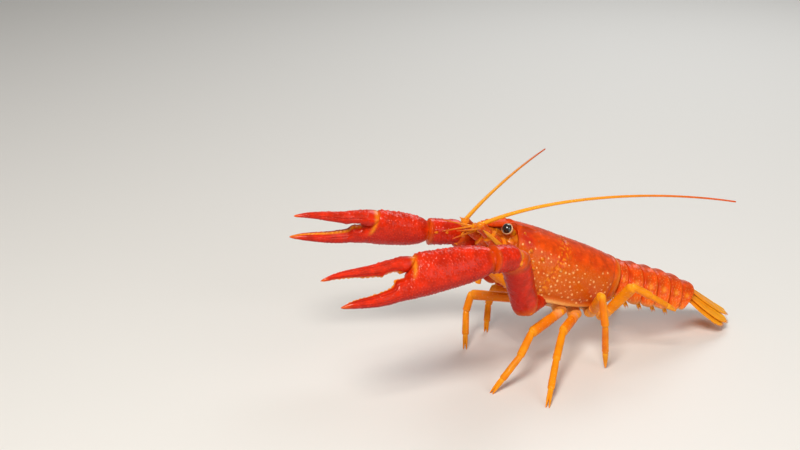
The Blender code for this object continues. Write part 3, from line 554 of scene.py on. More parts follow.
# Along a ring: the share of its length, of its width and height, and of its flaps' depth.
RING_SWELL = (
    (-0.14, 0.84, 0.40), (0.0, 0.89, 0.52), (0.14, 0.905, 0.70), (0.2, 0.93, 0.80), (0.27, 0.99, 0.92),
    (0.6, 1.01, 1.0), (0.86, 1.035, 0.94), (0.97, 1.04, 0.80), (1.03, 1.02, 0.70), (1.05, 0.95, 0.55),
)
FLAP_THICKNESS = 1.0
BELLY_DEPTH = 3.0
FAN_PITCH = math.radians(36.0)
FAN_ROLL = math.radians(-5.0)
LAST_RING_SLANT = 0.3


def tail_frames():
    """Where each ring starts, with its pitch, and where the fan starts."""
    frames, spot = [], TRUNK_REAR.copy()
    for length, *_, pitch in SEGMENTS:
        angle = math.radians(pitch)
        frames.append((spot.copy(), angle))
        spot = spot - held(angle)[0] * length
    frames.append((spot, FAN_PITCH))
    return frames


TAIL = tail_frames()


def ring_skin(number, share, angle):
    length, width, height, flap, _ = SEGMENTS[number]
    (start, pitch), (_, after) = TAIL[number], TAIL[number + 1]
    before = TAIL[number - 1][1] if number else TRUNK_PITCH
    front = (before + pitch) / 2 if number else TRUNK_PITCH
    _, left, up = held(front + ((pitch + after) / 2 - front) * share)
    swell, droop = curve(RING_SWELL, share), curve(RING_SWELL, share, 2)
    belly = -BELLY_DEPTH * height / 8.0
    cosine, sine = np.cos(angle), np.sin(angle)
    tip = -flap * droop
    over = sine >= 0
    y = (width * swell - np.where(over, 0.0, FLAP_THICKNESS)) * power(cosine, 0.85)
    high = tip + (height * swell - tip) * np.abs(sine) ** 0.75
    low = tip + (belly - tip) * np.abs(sine) ** 0.6
    z = np.where(over, high, low)
    centre = start - held(pitch)[0] * (length * share)[..., None]
    if number == len(SEGMENTS) - 1:
        slant = LAST_RING_SLANT * share_of(share) * (height - z)
        centre = centre + held(pitch)[0] * slant[..., None]
    return centre + left * y[..., None] + up * z[..., None]


def make_ring(number):
    share, angle = sheet_of(56, 176, RING_SWELL[0][0] if number else 0.02, RING_SWELL[-1][0], 0.3)
    skin = ring_skin(number, share, angle)
    sine, cosine = np.sin(angle), np.abs(np.cos(angle))
    over = smooth(sine, -0.02, 0.06)
    lift = -0.12 * ridge(share, 0.33, 0.035) * over + 0.05 * ridge(share, 0.95, 0.05) * over
    lift = lift - 0.12 * ridge(share, 0.2, 0.03) * over
    fold = ridge(sine, 0.34, 0.05) * between(share, 0.3, 0.45, 0.8, 0.95)
    lift = lift - 0.2 * fold
    crowd = over * smooth(cosine, 0.3, 0.8) * (share > 0.35) * (share < 0.95)
    lift_knobs, tips = grains(skin, spots_on(skin, 70, crowd, 0.8, 20 + number), 0.32, 0.09, 30 + number)
    lift = lift + lift_knobs + 0.03 * rough(skin, 1.6, number)
    spot = ridge(share, 0.62, 0.16) * ridge(sine, 0.46, 0.09) * (cosine > 0.3)
    crescent = ridge(share, 0.66, 0.14) * ridge(sine, 0.08, 0.06) * over
    shade = 0.45 * (1 - smooth(share, 0.16, 0.3)) * over + 0.4 * fold
    mesh = new_mesh()
    add_skin(mesh, raise_by(skin, lift), {
        "gold": share_of(0.75 * spot + 0.35 * crescent + 0.3 * ridge(share, 1.02, 0.06) * over),
        "deep": share_of(shade + 0.3 * ridge(share, 0.33, 0.05)),
        "side": smooth(1 - sine, 0.3, 0.9) * over,
        "pale": share_of(0.5 * smooth(tips, 0.4, 0.9) + 0.85 * (1 - over)),
    })
    place(mesh, f"tail_ring_{number + 1}", tail_red, "tail", f"tail_segment_{number + 1}")


for ring_number in range(len(SEGMENTS)):
    make_ring(ring_number)

# %% [markdown]
# Many parts are a straight spar with rounded ends: plates, blades and the joints of limbs. A table gives
# the half width and half height along it, so that one function can make a thin blade or a stout arm.


# %% Make a straight spar
def unit(vector):
    vector = np.asarray(vector, float)
    return vector / np.linalg.norm(vector)


def spar(start, end, side, shape, along, around, squareness=2.0, rounding=0.6):
    """Places along a straight limb, with its share along and its angle round at each corner."""
    start, end = np.asarray(start, float), np.asarray(end, float)
    axis = unit(end - start)
    across = unit(side - axis * np.dot(side, axis))
    up = np.cross(axis, across)
    share, angle = sheet_of(along, around, shape[0][0], shape[-1][0], rounding)
    width, height = np.abs(curve(shape, share)), np.abs(curve(shape, share, 2))
    wide = width * power(np.cos(angle), 2 / squareness)
    tall = height * power(np.sin(angle), 2 / squareness)
    centre = start + (end - start) * share[..., None]
    return centre + across * wide[..., None] + up * tall[..., None], share, angle


def along_line(line, count_for, *extras):
    """Spots evenly along a line of points, as many as its length calls for, with their distances."""
    steps = np.concatenate(((0,), np.linalg.norm(np.diff(line, axis=0), axis=1).cumsum()))
    at = np.linspace(0, steps[-1], count_for(steps[-1]))
    spots = np.stack([np.interp(at, steps, line[:, i]) for i in range(3)], -1)
    return spots, at, *(np.interp(at, steps, values) for values in extras)


def add_bristles(mesh, roots, directions, length, radius, seed=5):
    """Adds fine bristles: thin three-sided cones that stand on their roots."""
    draw = np.random.default_rng(seed)
    for root, direction in zip(roots, directions):
        size = length * draw.uniform(0.7, 1.15)
        aim = Vector(unit(np.asarray(direction) + draw.normal(0, 0.08, 3)))
        middle = Vector((np.asarray(root) - ORIGIN)) + aim * (size / 2 - 0.15)
        turn = aim.to_track_quat("Z", "Y").to_matrix().to_4x4()
        bmesh.ops.create_cone(
            mesh,
            cap_ends=True,
            segments=3,
            radius1=radius * MM,
            radius2=radius * 0.15 * MM,
            depth=size * MM,
            matrix=Matrix.Translation(middle * MM) @ turn,
        )


print("spar tools ready")

# %% [markdown]
# The tail fan is five thin blades: the telson in the middle and two on each side. Each has a raised
# midrib and fine ribs that spread towards its rounded end, and a fringe of bristles along that end.

# %% Make the tail fan
FAN_ARCH = 0.03
# Each plate: its length, half width, heading outwards, sideways root and height in the last ring.
TELSON = (19.8, 4.2, 0.0, 0.0, 4.5)
INNER_BLADE = (18.6, 3.4, 3.5, 3.2, 3.5)
OUTER_BLADE = (17.0, 3.1, 5.0, 4.3, 2.5)
# Along a plate: the share of its length and of its half width.
BLADE_SHAPE = (
    (-0.24, 0.4), (0.0, 0.48), (0.12, 0.7), (0.3, 0.92), (0.55, 1.0),
    (0.78, 0.88), (0.91, 0.62), (0.98, 0.32), (1.0, 0.0),
)
BLADE_HALF_THICKNESS = 0.42
BLADE_SQUARENESS = 2.6
FRINGE_GAP = 0.16


def rim_spots(skin, share, gap):
    """Spots at this distance from each other round the free end of a plate."""
    sides = [skin[:, column][share[:, 0] > 0.6] for column in (0, skin.shape[1] // 2)]
    rim = np.concatenate((sides[0], sides[1][::-1]))
    return along_line(rim, lambda length: int(length / gap))[0]


def make_blade(name, node, shape, side_sign, seed):
    length, width, heading, root_side, height = shape
    ahead, left, up = held(FAN_PITCH, FAN_ROLL)
    turn = math.radians(heading)
    axis = -ahead * math.cos(turn) + left * (side_sign * math.sin(turn))
    flat = np.cross(up, axis)
    root = TAIL[-1][0] + up * height + left * (side_sign * root_side)
    table = []
    for share, wide in BLADE_SHAPE:
        thick = BLADE_HALF_THICKNESS * (1.1 - 0.3 * max(share, 0)) * (wide > 0)
        table.append((share, width * wide, thick))
    skin, share, angle = spar(root, root + axis * length, flat, table, 96, 112, BLADE_SQUARENESS, 0.2)
    skin = skin - up * (FAN_ARCH * ((skin - TAIL[-1][0]) @ left) ** 2)[..., None]

    steep = np.abs(np.sin(angle))
    faces = (steep > 0.02) * smooth(steep, 0.0, 0.35)
    across = power(np.cos(angle), 2 / BLADE_SQUARENESS)
    fade = between(share, 0.02, 0.12, 0.9, 1.0)
    midrib = ridge(across, 0.0, 0.075) * fade
    ribs = share_of(np.cos(across * 46 / (0.35 + 0.65 * share))) ** 3
    ribs = ribs * smooth(share, 0.5, 0.85) * (1 - smooth(share, 0.96, 1.0))
    lift = faces * (0.28 * midrib + 0.07 * ribs - 0.1 * ridge(np.abs(across), 0.3, 0.07) * fade)
    suture = ridge(share, 0.66, 0.012) * (not name.startswith("inner"))
    lift = lift - 0.16 * suture * faces
    if name.startswith("outer"):
        lift = lift + 0.15 * ridge(share, 0.645, 0.012) * share_of(np.cos(across * 40)) * faces
    lower_side = 1 if np.dot(np.cross(axis, flat), up) > 0 else -1
    # Painted shade: each blade's lower face takes the darker flank colour and less gold.
    below = smooth(-np.sin(angle) * lower_side, 0.0, 0.2)
    gold = share_of(0.8 * smooth(share, 0.1, 0.95) * (0.5 + 0.5 * ribs) + 0.5 * midrib, 0.9)
    mesh = new_mesh()
    add_skin(mesh, raise_by(skin, lift), {
        "gold": gold * (1 - 0.4 * below),
        "side": 0.5 * below,
        "deep": share_of(0.4 * suture + 0.2 * (1 - smooth(share, 0.05, 0.2))),
    })
    roots = rim_spots(skin, share, FRINGE_GAP)
    middle = root + axis * (length * 0.55)
    aims = [unit(unit(spot - middle) * 0.6 + axis * 0.8) for spot in roots]
    add_bristles(mesh, roots, aims, 1.5, 0.05, seed)
    place(mesh, f"fan_{name}", fan_orange, "fan", node)


make_blade("telson", "telson", TELSON, 1, 40)
for word, sign in SIDES:
    make_blade(f"inner_{word}", f"tail_blade_inner_{word}", INNER_BLADE, sign, 41)
    make_blade(f"outer_{word}", f"tail_blade_outer_{word}", OUTER_BLADE, sign, 42)

# %% [markdown]
# Under the tail hang small leaf-like legs in pairs, each split in two and edged with bristles. They are
# part of the tail's solids, so this piece only adds their finer form.

# %% Make the swimming legs under the tail
LEAF = (
    (0.0, 0.75, 0.5), (0.25, 0.7, 0.45), (0.45, 0.75, 0.4),
    (0.7, 0.95, 0.35), (0.9, 0.6, 0.25), (1.0, 0.0, 0.0),
)


def add_leaf(mesh, root, aim, left, length, seed):
    """Adds one leaf with bristles along both edges of its outer half."""
    base = root - aim * 1.0
    leaf, share, _ = spar(base, base + aim * (length + 1.0), left, LEAF, 18, 12)
    add_skin(mesh, leaf, {"gold": smooth(share, 0.2, 0.9)})
    edges = [leaf[row, column] for row in range(9, 18) for column in (0, 6)]
    add_bristles(mesh, edges, [aim] * len(edges), 1.1, 0.045, seed)


mesh = new_mesh()
for ring_number in (1, 2, 3, 4):
    ring_start, ring_pitch = TAIL[ring_number]
    ahead, left, up = held(ring_pitch)
    ring_length, ring_width, ring_height = SEGMENTS[ring_number][:3]
    root = ring_start - ahead * ring_length * 0.3 - up * BELLY_DEPTH * ring_height / 8.0
    for sign in (1, -1):
        leaf_root = root + left * (sign * ring_width * 0.42)
        for spread, reach in ((0.0, 5.0), (0.35, 4.4)):
            aim = unit(-up - ahead * (0.9 - spread) + left * sign * spread * 0.4)
            add_leaf(mesh, leaf_root, aim, left, reach, ring_number)
place(mesh, "swimming_legs", leg_orange, "leg")

# %% [markdown]
# The claw is the widest piece of an arm and shows most. Its palm runs on into the fixed finger, and the
# moving finger hinges beside it. Both edges that meet carry rounded teeth. The palm is thick with grains
# that lean towards the finger tips, larger along the inner edge, and these make the broken highlights.

# %% Name the claws' sizes
# By distance ahead of the wrist or of the hinge: the lower edge, the upper edge and the half thickness.
PALM = (
    (0.0, -3.3, 3.3, 2.6), (1.6, -4.3, 4.3, 3.6), (5.5, -5.3, 5.3, 4.4), (11.0, -6.0, 5.9, 4.8),
    (18.0, -6.6, 6.1, 4.8), (22.2, -6.9, 6.2, 4.5), (23.9, -6.9, 5.6, 4.2), (27.2, -7.0, 1.0, 3.3),
    (28.4, -7.0, -0.4, 3.0), (31.0, -7.1, -0.7, 2.7), (32.2, -7.2, -2.3, 2.5), (34.9, -7.4, -3.1, 2.3),
    (38.6, -7.3, -3.7, 2.0), (42.2, -6.9, -3.9, 1.7), (45.4, -6.4, -4.3, 1.3), (47.9, -6.0, -4.9, 0.7),
    (48.9, -5.7, -5.2, 0.3),
)
DACTYL = (
    (-1.6, 3.6, 5.3, 2.4), (0.0, 1.7, 5.8, 3.1), (1.8, 1.1, 6.0, 3.1), (4.6, 1.9, 5.8, 2.8),
    (7.2, 1.8, 5.6, 2.5), (9.0, 1.2, 5.4, 2.3), (11.0, 1.6, 5.2, 2.1), (15.0, 2.1, 5.1, 1.8),
    (19.5, 2.8, 5.0, 1.4), (23.5, 3.0, 4.6, 0.9), (26.2, 3.0, 3.9, 0.5), (27.2, 3.2, 3.5, 0.25),
)
HINGE = 25.9
HINGE_HEIGHT = 6.0
# Each arm: its joints, where the claw aims, its roll, the gape and bend of its fingers, and its size.
LEFT_ARM = {
    "joints": ((19.2, 14.5, 24.4), (26.3, 20.5, 45.2), (34.8, 22.6, 46.6)),
    "tip": (84.0, 25.0, 44.5),
    "roll": 62.0,
    "gape": 0.0,
    "bend": 0.0,
    "size": 1.0,
    "palm_share": 1.0,
    "length": 48.9,
}
RIGHT_ARM = {
    "joints": ((18.0, -12.5, 24.0), (31.0, -15.6, 40.2), (42.3, -16.5, 41.5)),
    "tip": (87.5, -20.5, 50.4),
    "roll": 70.0,
    "gape": 1.5,
    "bend": 7.0,
    "size": 0.95,
    "palm_share": 0.78,
    "length": 46.8,
}
SHOULDER = (24.5, 5.6, -9.8)


def claw_axes(arm):
    """The claw's directions: ahead, across towards the moving finger, and out of its face."""
    wrist = np.array(arm["joints"][2])
    ahead = unit(np.array(arm["tip"]) - wrist)
    side = 1 if wrist[1] > 0 else -1
    level = unit(np.cross((0, 0, 1), ahead)) * -side
    roll = math.radians(arm["roll"])
    upright = unit(np.cross(level, ahead))
    upright = upright if upright[2] > 0 else -upright
    across = level * math.cos(roll) + upright * math.sin(roll)
    return wrist, ahead, across, np.cross(ahead, across)


def palm_length(x, arm):
    """A distance along the claw, with the palm's share of its length changed."""
    share = arm["palm_share"]
    fingers = (arm["length"] - HINGE * share) / (PALM[-1][0] - HINGE)
    return np.where(x <= HINGE, x * share, HINGE * share + (x - HINGE) * fingers)


def claw_skin(table, origin, ahead, across, out, size, arm, along, around):
    """Places over a part of the claw, from the table of its edges."""
    x, angle = sheet_of(along, around, table[0][0], table[-1][0])
    low, high, thick = (curve(table, x, column) for column in (1, 2, 3))
    distance, droop = x, 0.0
    if arm:
        distance = palm_length(x, arm)
        droop = math.tan(math.radians(arm["bend"])) * np.maximum(0, distance - palm_length(HINGE, arm))
    y = (low + high) / 2 - droop + (high - low) / 2 * power(np.cos(angle), 0.9)
    z = thick * power(np.sin(angle), 0.95)
    distance, y, z = (part[..., None] for part in (distance, y, z))
    return origin + (ahead * distance + across * y + out * z) * size, x, angle


print("claw length", LEFT_ARM["length"], "mm")

# %% [markdown]
# The tables are the solids' own, so the claw keeps its outline. Only the ends differ: both skins are
# drawn in to closed points. Two sizes of grain cover a claw, and rounded teeth line the edges that meet.

# %% Name the claws' grains and teeth
FIRM_PALM = (
    (-1.2, -0.4, 0.4, 0.3), (-1.0, -1.7, 1.7, 1.4), *PALM[:-1],
    (48.7, -5.7, -5.2, 0.4), (49.1, -5.45, -5.45, 0.0),
)
FIRM_DACTYL = ((-2.6, 4.3, 4.5, 0.1), *DACTYL[:-1], (27.0, 3.15, 3.6, 0.3), (27.4, 3.35, 3.35, 0.0))
# Small grains and then big ones: how many, their spacing, radius and height.
CLAW_GRAINS = {
    "palm": ((1050, 0.70, 0.40, 0.15), (34, 1.7, 0.62, 0.3)),
    "finger": ((300, 0.66, 0.33, 0.10), (10, 1.5, 0.55, 0.2)),
}
HALF_GAP = 0.15
TEETH = 16


def toothed(skin, x, column, low, high, seed):
    """Rounded teeth along one edge of a finger, larger near its root."""
    draw = np.random.default_rng(seed)
    lift, tips = np.zeros(x.shape), np.zeros(x.shape)
    for at in np.linspace(low, high, TEETH) + draw.uniform(-0.25, 0.25, TEETH):
        row = np.abs(x[:, 0] - at).argmin()
        size = (0.95 - 0.45 * (at - low) / (high - low)) * draw.uniform(0.45, 1.25)
        apart = ((skin - skin[row, column]) ** 2).sum(-1) / size**2
        near = apart < 1
        lift[near] = np.maximum(lift[near], 0.62 * size * (1 - apart[near]) ** 1.5)
        tips[near] = np.maximum(tips[near], 1 - apart[near])
    return lift, tips


def claw_grains(skin, part, crowds, seed):
    """The lift and tips of the small grains, and then of the big ones."""
    found = []
    for (count, spacing, radius, height), crowd in zip(CLAW_GRAINS[part], crowds):
        spots = spots_on(skin, count, crowd, spacing, seed)
        found.extend(grains(skin, spots, radius, height, seed + 1))
        seed = seed + 2
    return found


def painted_shade_below(angle, across, out):
    """How far each corner of the claw faces the floor, which sets the painted shade on its lower half."""
    return smooth(-np.cos(angle) * across[2] - np.sin(angle) * out[2], -0.25, 0.75)


print("grains on a claw:", sum(count for rows in CLAW_GRAINS.values() for count, *_ in rows))

# %% [markdown]
# Painted shade makes the palm darker below and along its outer edge, which is its lower edge. Its grains
# thin out on the finger, two grooves run along the finger on each face, and a golden lip stands round the
# hinge.

# %% Make a palm with its fixed finger
PALM_GRID = (330, 168)


def make_palm(word, arm, seed):
    origin, ahead, across, out = claw_axes(arm)
    start = origin + ahead * HALF_GAP
    skin, x, angle = claw_skin(FIRM_PALM, start, ahead, across, out, arm["size"], arm, *PALM_GRID)
    edge, face = np.cos(angle), np.abs(np.sin(angle))
    inner, finger = smooth(edge, 0.2, 0.95), smooth(x, 27, 31)
    crowd = smooth(x, 1.5, 3.5) * (1 - 0.55 * finger) * (1 - smooth(x, 43, 47)) * (1 - inner * finger)
    big_crowd = ridge(edge, 0.92, 0.12) * between(x, 2, 4, 21, 23)
    lift, tips, lift_big, tips_big = claw_grains(skin, "palm", (crowd, big_crowd), seed)
    teeth, teeth_tips = toothed(skin, x, 0, 29.0, 46.0, seed + 4)
    grooves = (ridge(face, 0.86, 0.05) + 0.6 * ridge(face, 0.5, 0.05)) * between(x, 28, 32, 42, 47)
    lift = np.maximum(lift * (1 - 0.35 * finger), lift_big) + 0.55 * teeth - 0.16 * grooves
    lift = lift + 0.05 * rough(skin, 2.4, seed) + 0.25 * ridge(x, 0.4, 0.5)

    biting = inner * finger * smooth(edge, 0.93, 1.0)
    hinge_lip = ridge(x - 1.62 * (0.93 - edge), 24.6, 0.8) * smooth(edge, 0.0, 0.5)
    horn = 0.25 * smooth(x, 45.0, 48.5) + 0.2 * ridge(x, 0.0, 1.0)
    clouds = 0.3 * smooth(rough(skin, 5.0, 2.0 + seed), 0.1, 0.5)
    # Painted shade: the palm's lower edge is mixed to the deep red. The grooves are darkened too, and the
    # clouds are the claw's own tone.
    deep = share_of(0.55 * smooth(-edge, 0.55, 1.0) + 0.5 * grooves + clouds, 0.8)
    bright = 0.5 * smooth(tips, 0.3, 0.95) * (1 - 0.5 * finger)
    mesh = new_mesh()
    add_skin(mesh, raise_by(skin, lift, ahead, 0.5), {
        "gold": share_of(0.75 * biting + 0.85 * hinge_lip + horn + 0.5 * teeth_tips),
        "pale": share_of(bright + 0.7 * smooth(tips_big, 0.4, 0.95)),
        "deep": deep * (1 - smooth(tips, 0.2, 0.8) * 0.6),
        # Painted shade: the half of the palm that faces the floor takes the darker flank red.
        "side": 0.85 * painted_shade_below(angle, across, out),
    })
    place(mesh, f"claw_palm_{word}", claw_red, "claw", f"palm_{word}")


print("palm grid:", PALM_GRID)

# %% [markdown]
# The moving finger starts a little inside the palm, behind its soft hinge, about which it is turned by the
# gape. Its biting edge is golden and faces the fixed finger's.

# %% Make the claws
THUMB_GRID = (230, 120)


def make_thumb(word, arm, seed):
    origin, ahead, across, out = claw_axes(arm)
    size = arm["size"]
    turn = np.array(Matrix.Rotation(math.radians(arm["gape"] - arm["bend"]), 3, Vector(out)))
    aim, spread = turn @ ahead, turn @ across
    hinge = (ahead * float(palm_length(HINGE, arm)) + across * HINGE_HEIGHT) * size
    start = origin + ahead * (2 * HALF_GAP) + hinge - spread * (HINGE_HEIGHT * size)
    skin, x, angle = claw_skin(FIRM_DACTYL, start, aim, spread, out, size, None, *THUMB_GRID)
    edge = np.cos(angle)
    crowd = between(x, 1, 3, 21, 25) * (0.15 + smooth(edge, -0.6, 0.6))
    big_crowd = ridge(edge, 0.95, 0.1) * between(x, 1, 2, 13, 16)
    lift, tips, lift_big, tips_big = claw_grains(skin, "finger", (crowd, big_crowd), seed + 5)
    teeth, teeth_tips = toothed(skin, x, skin.shape[1] // 2, 3.0, 24.5, seed + 9)
    grooves = ridge(np.abs(np.sin(angle)), 0.84, 0.06) * between(x, 2, 6, 22, 26)
    lift = np.maximum(lift, lift_big) + 0.55 * teeth - 0.16 * grooves + 0.04 * rough(skin, 2.0, seed + 3)

    biting = smooth(-edge, 0.8, 1.0) * smooth(x, 1.5, 3.5)
    ends = 0.6 * (1 - smooth(x, -0.9, 0.5)) + 0.3 * smooth(x, 24.5, 27)
    clouds = 0.25 * smooth(rough(skin, 5.0, seed), 0.1, 0.5)
    mesh = new_mesh()
    add_skin(mesh, raise_by(skin, lift, aim, 0.5), {
        "gold": share_of(0.75 * biting + ends + 0.4 * teeth_tips),
        "pale": share_of(0.45 * smooth(tips, 0.3, 0.95) + 0.7 * smooth(tips_big, 0.4, 0.95)),
        "deep": share_of(0.45 * grooves + clouds, 0.8),
        # Painted shade: the half of the finger that faces the floor takes the darker flank red.
        "side": 0.6 * painted_shade_below(angle, spread, out),
    })
    place(mesh, f"claw_thumb_{word}", claw_red, "claw", f"claw_finger_{word}")


for word, arm, seed in (("left", LEFT_ARM, 100), ("right", RIGHT_ARM, 200)):
    make_palm(word, arm, seed)
    make_thumb(word, arm, seed)

# %% [markdown]
# The arm behind each claw has three joints: a short base at the breast, a long upper arm, and a stout
# wrist piece. They are spars that swell towards the far end, where a rim with spines guards the next
# joint. A soft golden ball fills each joint, as the folded skin does between two shells.

# %% Make the joints of limbs
LIMB_SWELL = (
    (-0.10, 0.0), (-0.085, 0.36), (-0.04, 0.74), (0.02, 0.88), (0.1, 0.95), (0.5, 0.99),
    (0.84, 1.01), (0.93, 0.98), (0.985, 0.86), (1.02, 0.5), (1.035, 0.0),
)
LONG_LIMB = 12.0


def swollen(width, height, length):
    """A limb's table of half sizes, with its rounded ends kept short on a long limb."""
    kept = min(1.0, LONG_LIMB / length)
    table = []
    for share, swell in LIMB_SWELL:
        if share < 0:
            share = share * kept
        if share > 0.93:
            share = 1 - (1 - share) * kept
        table.append((share, width * swell, height * swell))
    return table


def add_limb(mesh, start, end, side, seed, size, grid, grain, gold_ends, deep_side=0.3, paleness=0.0):
    """Adds one joint of a limb to a mesh, with golden ends and, if asked, grains."""
    span = np.asarray(end) - np.asarray(start)
    skin, share, angle = spar(start, end, side, swollen(*size, float(np.linalg.norm(span))), *grid)
    lift = 0.035 * min(size) * rough(skin, 1.8, seed) + 0.05 * min(size) * ridge(share, 0.93, 0.03)
    pale = paleness * (1 - 0.8 * smooth(share, 0.35, 1.0))
    if grain:
        count, spacing, radius, height = grain
        spots = spots_on(skin, count, between(share, 0.1, 0.25, 0.9, 0.96), spacing, seed)
        lift_grain, tips = grains(skin, spots, radius, height, seed + 1)
        lift = lift + lift_grain
        pale = 0.3 * smooth(tips, 0.35, 0.95)
    near, far = gold_ends
    gold = 0.6 * near * (1 - smooth(share, 0.0, 0.16)) + 0.6 * far * smooth(share, 0.80, 0.96)
    deep = deep_side * smooth(rough(skin, 3.0, seed + 4), 0.0, 0.5) + 0.25 * ridge(share, 0.88, 0.03)
    add_skin(mesh, raise_by(skin, lift, unit(span), 0.4), {
        "gold": share_of(gold),
        "deep": share_of(deep, 0.8),
        "pale": pale,
        "side": smooth(-np.sin(angle), -0.2, 0.9),
    })


def add_limbs(mesh, side, seed, limbs):
    """Adds several joints, each with its ends, its size, its grid and its looks."""
    for order, (start, end, *look) in enumerate(limbs):
        add_limb(mesh, start, end, side, seed + order, *look)


def add_ball(mesh, centre, radius, gold=0.7, deep=0.0):
    """Adds the soft ball of skin inside a joint."""
    spot = Matrix.Translation((np.asarray(centre, float) - ORIGIN) * MM)
    made = bmesh.ops.create_icosphere(mesh, subdivisions=3, radius=radius * MM, matrix=spot)["verts"]
    gold_layer, deep_layer = mesh.verts.layers.float.get("gold"), mesh.verts.layers.float.get("deep")
    for vertex in made:
        vertex[gold_layer] = gold
        vertex[deep_layer] = deep


SPINE_SHAPE = ((0.0, 1.0), (0.35, 0.85), (0.7, 0.5), (0.93, 0.18), (1.0, 0.0))


def add_spine(mesh, root, direction, length, radius):
    """Adds a conical spine with its root sunk in the limb."""
    aim = unit(direction)
    side = np.cross(aim, (0.3, 0.5, 0.8))
    table = [(share, radius * wide, radius * wide) for share, wide in SPINE_SHAPE]
    root = np.asarray(root)
    skin, share, _ = spar(root - aim * length * 0.3, root + aim * length, side, table, 14, 12)
    add_skin(mesh, skin, {"gold": 0.8 * smooth(share, 0.25, 0.7), "pale": 0.3 * smooth(share, 0.7, 1.0)})


print("limb tools ready")

# %% [markdown]
# The upper arm has a row of spines along its inner edge and a pair at its far end, and the wrist piece has
# two stouter ones. A golden knob on each side of an elbow is the peg on which the joint turns.

# %% Make the arms
ARM_RADII = ((3.0, 3.0), (3.9, 4.7), (4.1, 4.3))
# Each joint of the arm: its piece, its node, its grid, its grains, its golden ends, and the ball at its end.
ARM_JOINTS = (
    ("arm_root", "arm_base", (60, 56), (60, 0.9, 0.4, 0.14), (0.9, 0.7), (2.5,)),
    ("arm_upper", "upper_arm", (130, 96), (210, 0.9, 0.4, 0.16), (0.5, 0.35), (3.1,)),
    ("arm_wrist", "wrist", (90, 96), (170, 0.85, 0.42, 0.2), (0.25, 0.3), (2.9, 0.12, 0.3)),
)
# The knobs beside each elbow: how far aside and how large.
KNOBS = {"arm_root": (2.6, 0.8), "arm_upper": (3.0, 0.95)}


def add_arm_spines(mesh, name, start, end, flat, sign):
    axis = unit(end - start)
    if name == "arm_upper":
        inner = np.array((1.0, -0.6 * sign, -0.1))
        for share in (0.22, 0.36, 0.5, 0.64, 0.78, 0.9):
            spot = start + (end - start) * share + unit(inner - axis * inner.dot(axis)) * 3.7
            add_spine(mesh, spot, inner + axis * 0.9, 1.3 + share, 0.55)
        for lean in (0.9, -0.9):
            add_spine(mesh, end - axis * 1.6 + flat * lean * 3.4, axis + flat * lean * 0.6, 1.8, 0.6)
    if name == "arm_wrist":
        inner = unit(np.array((0.3, -1.0 * sign, 0.35)))
        for share, length in ((0.45, 1.4), (0.75, 2.0)):
            spot = start + (end - start) * share + unit(inner - axis * inner.dot(axis)) * 3.6
            add_spine(mesh, spot, inner + axis * 1.1, length, 0.7)


def make_arm(word, arm, seed):
    sign = 1 if word == "left" else -1
    shoulder = on_trunk(SHOULDER[0], sign * SHOULDER[1], SHOULDER[2])
    stops = [shoulder, *(np.array(joint) for joint in arm["joints"])]
    flat = unit(np.cross(stops[2] - stops[1], stops[3] - stops[2]))
    for number, (name, node, grid, grain, gold_ends, ball) in enumerate(ARM_JOINTS):
        start, end = stops[number], stops[number + 1]
        mesh = new_mesh()
        add_limb(mesh, start, end, flat, seed + 10 * number, ARM_RADII[number], grid, grain, gold_ends)
        add_arm_spines(mesh, name, start, end, flat, sign)
        add_ball(mesh, end, *ball)
        if name in KNOBS:
            aside, radius = KNOBS[name]
            for lean in (1, -1):
                add_ball(mesh, end + flat * (lean * aside), radius, 1.0)
        place(mesh, f"{name}_{word}", claw_red, "claw", f"{node}_{word}")


make_arm("left", LEFT_ARM, 300)
make_arm("right", RIGHT_ARM, 400)

# %% [markdown]
# A walking leg bends at a knee that stands high. It has a stout root, a long thigh, a short shank, a foot
# and a toe. The first two pairs end in little pincers, and the last two in a plain claw. The joints are
# bright gold and the stretches between them a browner orange.

# %% Make the walking legs
# Each leg: how far ahead its root is, its knee, its wrist, its foot, and whether it ends in a pincer.
LEGS = {
    "left_leg_1": (17.0, (17.2, 15.5, 15.6), (22.9, 20.0, 10.2), (33.7, 22.9), True),
    "left_leg_2": (11.0, (6.4, 16.0, 14.6), (12.1, 24.0, 9.1), (20.2, 36.4), True),
    "left_leg_3": (5.4, (-4.8, 20.0, 27.3), (-6.2, 21.0, 17.0), (-8.6, 18.6), False),
    "left_leg_4": (0.6, (-18.0, 16.0, 27.2), (-24.0, 17.4, 23.6), (-33.6, 18.0), False),
    "right_leg_1": (17.0, (26.6, -15.0, 16.8), (28.8, -13.6, 11.5), (31.2, -7.5), True),
    "right_leg_2": (11.0, (15.9, -20.5, 15.4), (17.6, -21.2, 9.0), (19.7, -17.5), True),
    "right_leg_3": (5.4, (-6.0, -19.5, 26.0), (-9.0, -26.0, 17.0), (-13.0, -31.0), False),
    "right_leg_4": (0.6, (-19.0, -16.0, 24.0), (-26.0, -20.0, 15.0), (-36.5, -24.0), False),
}
RAISED_FOOT = {"left_leg_4": 17.0}
LEG_ROOT_SIDE = 4.6
LEG_ROOT_DEPTH = -12.4
REAR_LEG_LIFT = 2.4
LEG_RADII = (1.85, 1.45, 1.3, 1.05)
HIP_RADIUS = 2.3
THIGH_SPLIT = 0.26
ANKLE_SHARE = 0.62
FOOT_CLEARANCE = 0.02
FINGER_SPREAD = 1.1
TOE = ((-0.06, 0.0), (-0.03, 0.7), (0.05, 0.95), (0.4, 0.8), (0.75, 0.5), (0.93, 0.28), (1.0, 0.0))


def add_toe(mesh, ankle, foot, side, radius, around, flat=1.0):
    table = [(share, radius * wide * flat, radius * wide) for share, wide in TOE]
    skin, share, _ = spar(ankle, foot, side, table, 44, around)
    gold = 0.7 * (1 - smooth(share, 0.0, 0.2)) + 0.25
    add_skin(mesh, skin, {"gold": gold, "deep": 0.6 * smooth(share, 0.78, 0.98)})


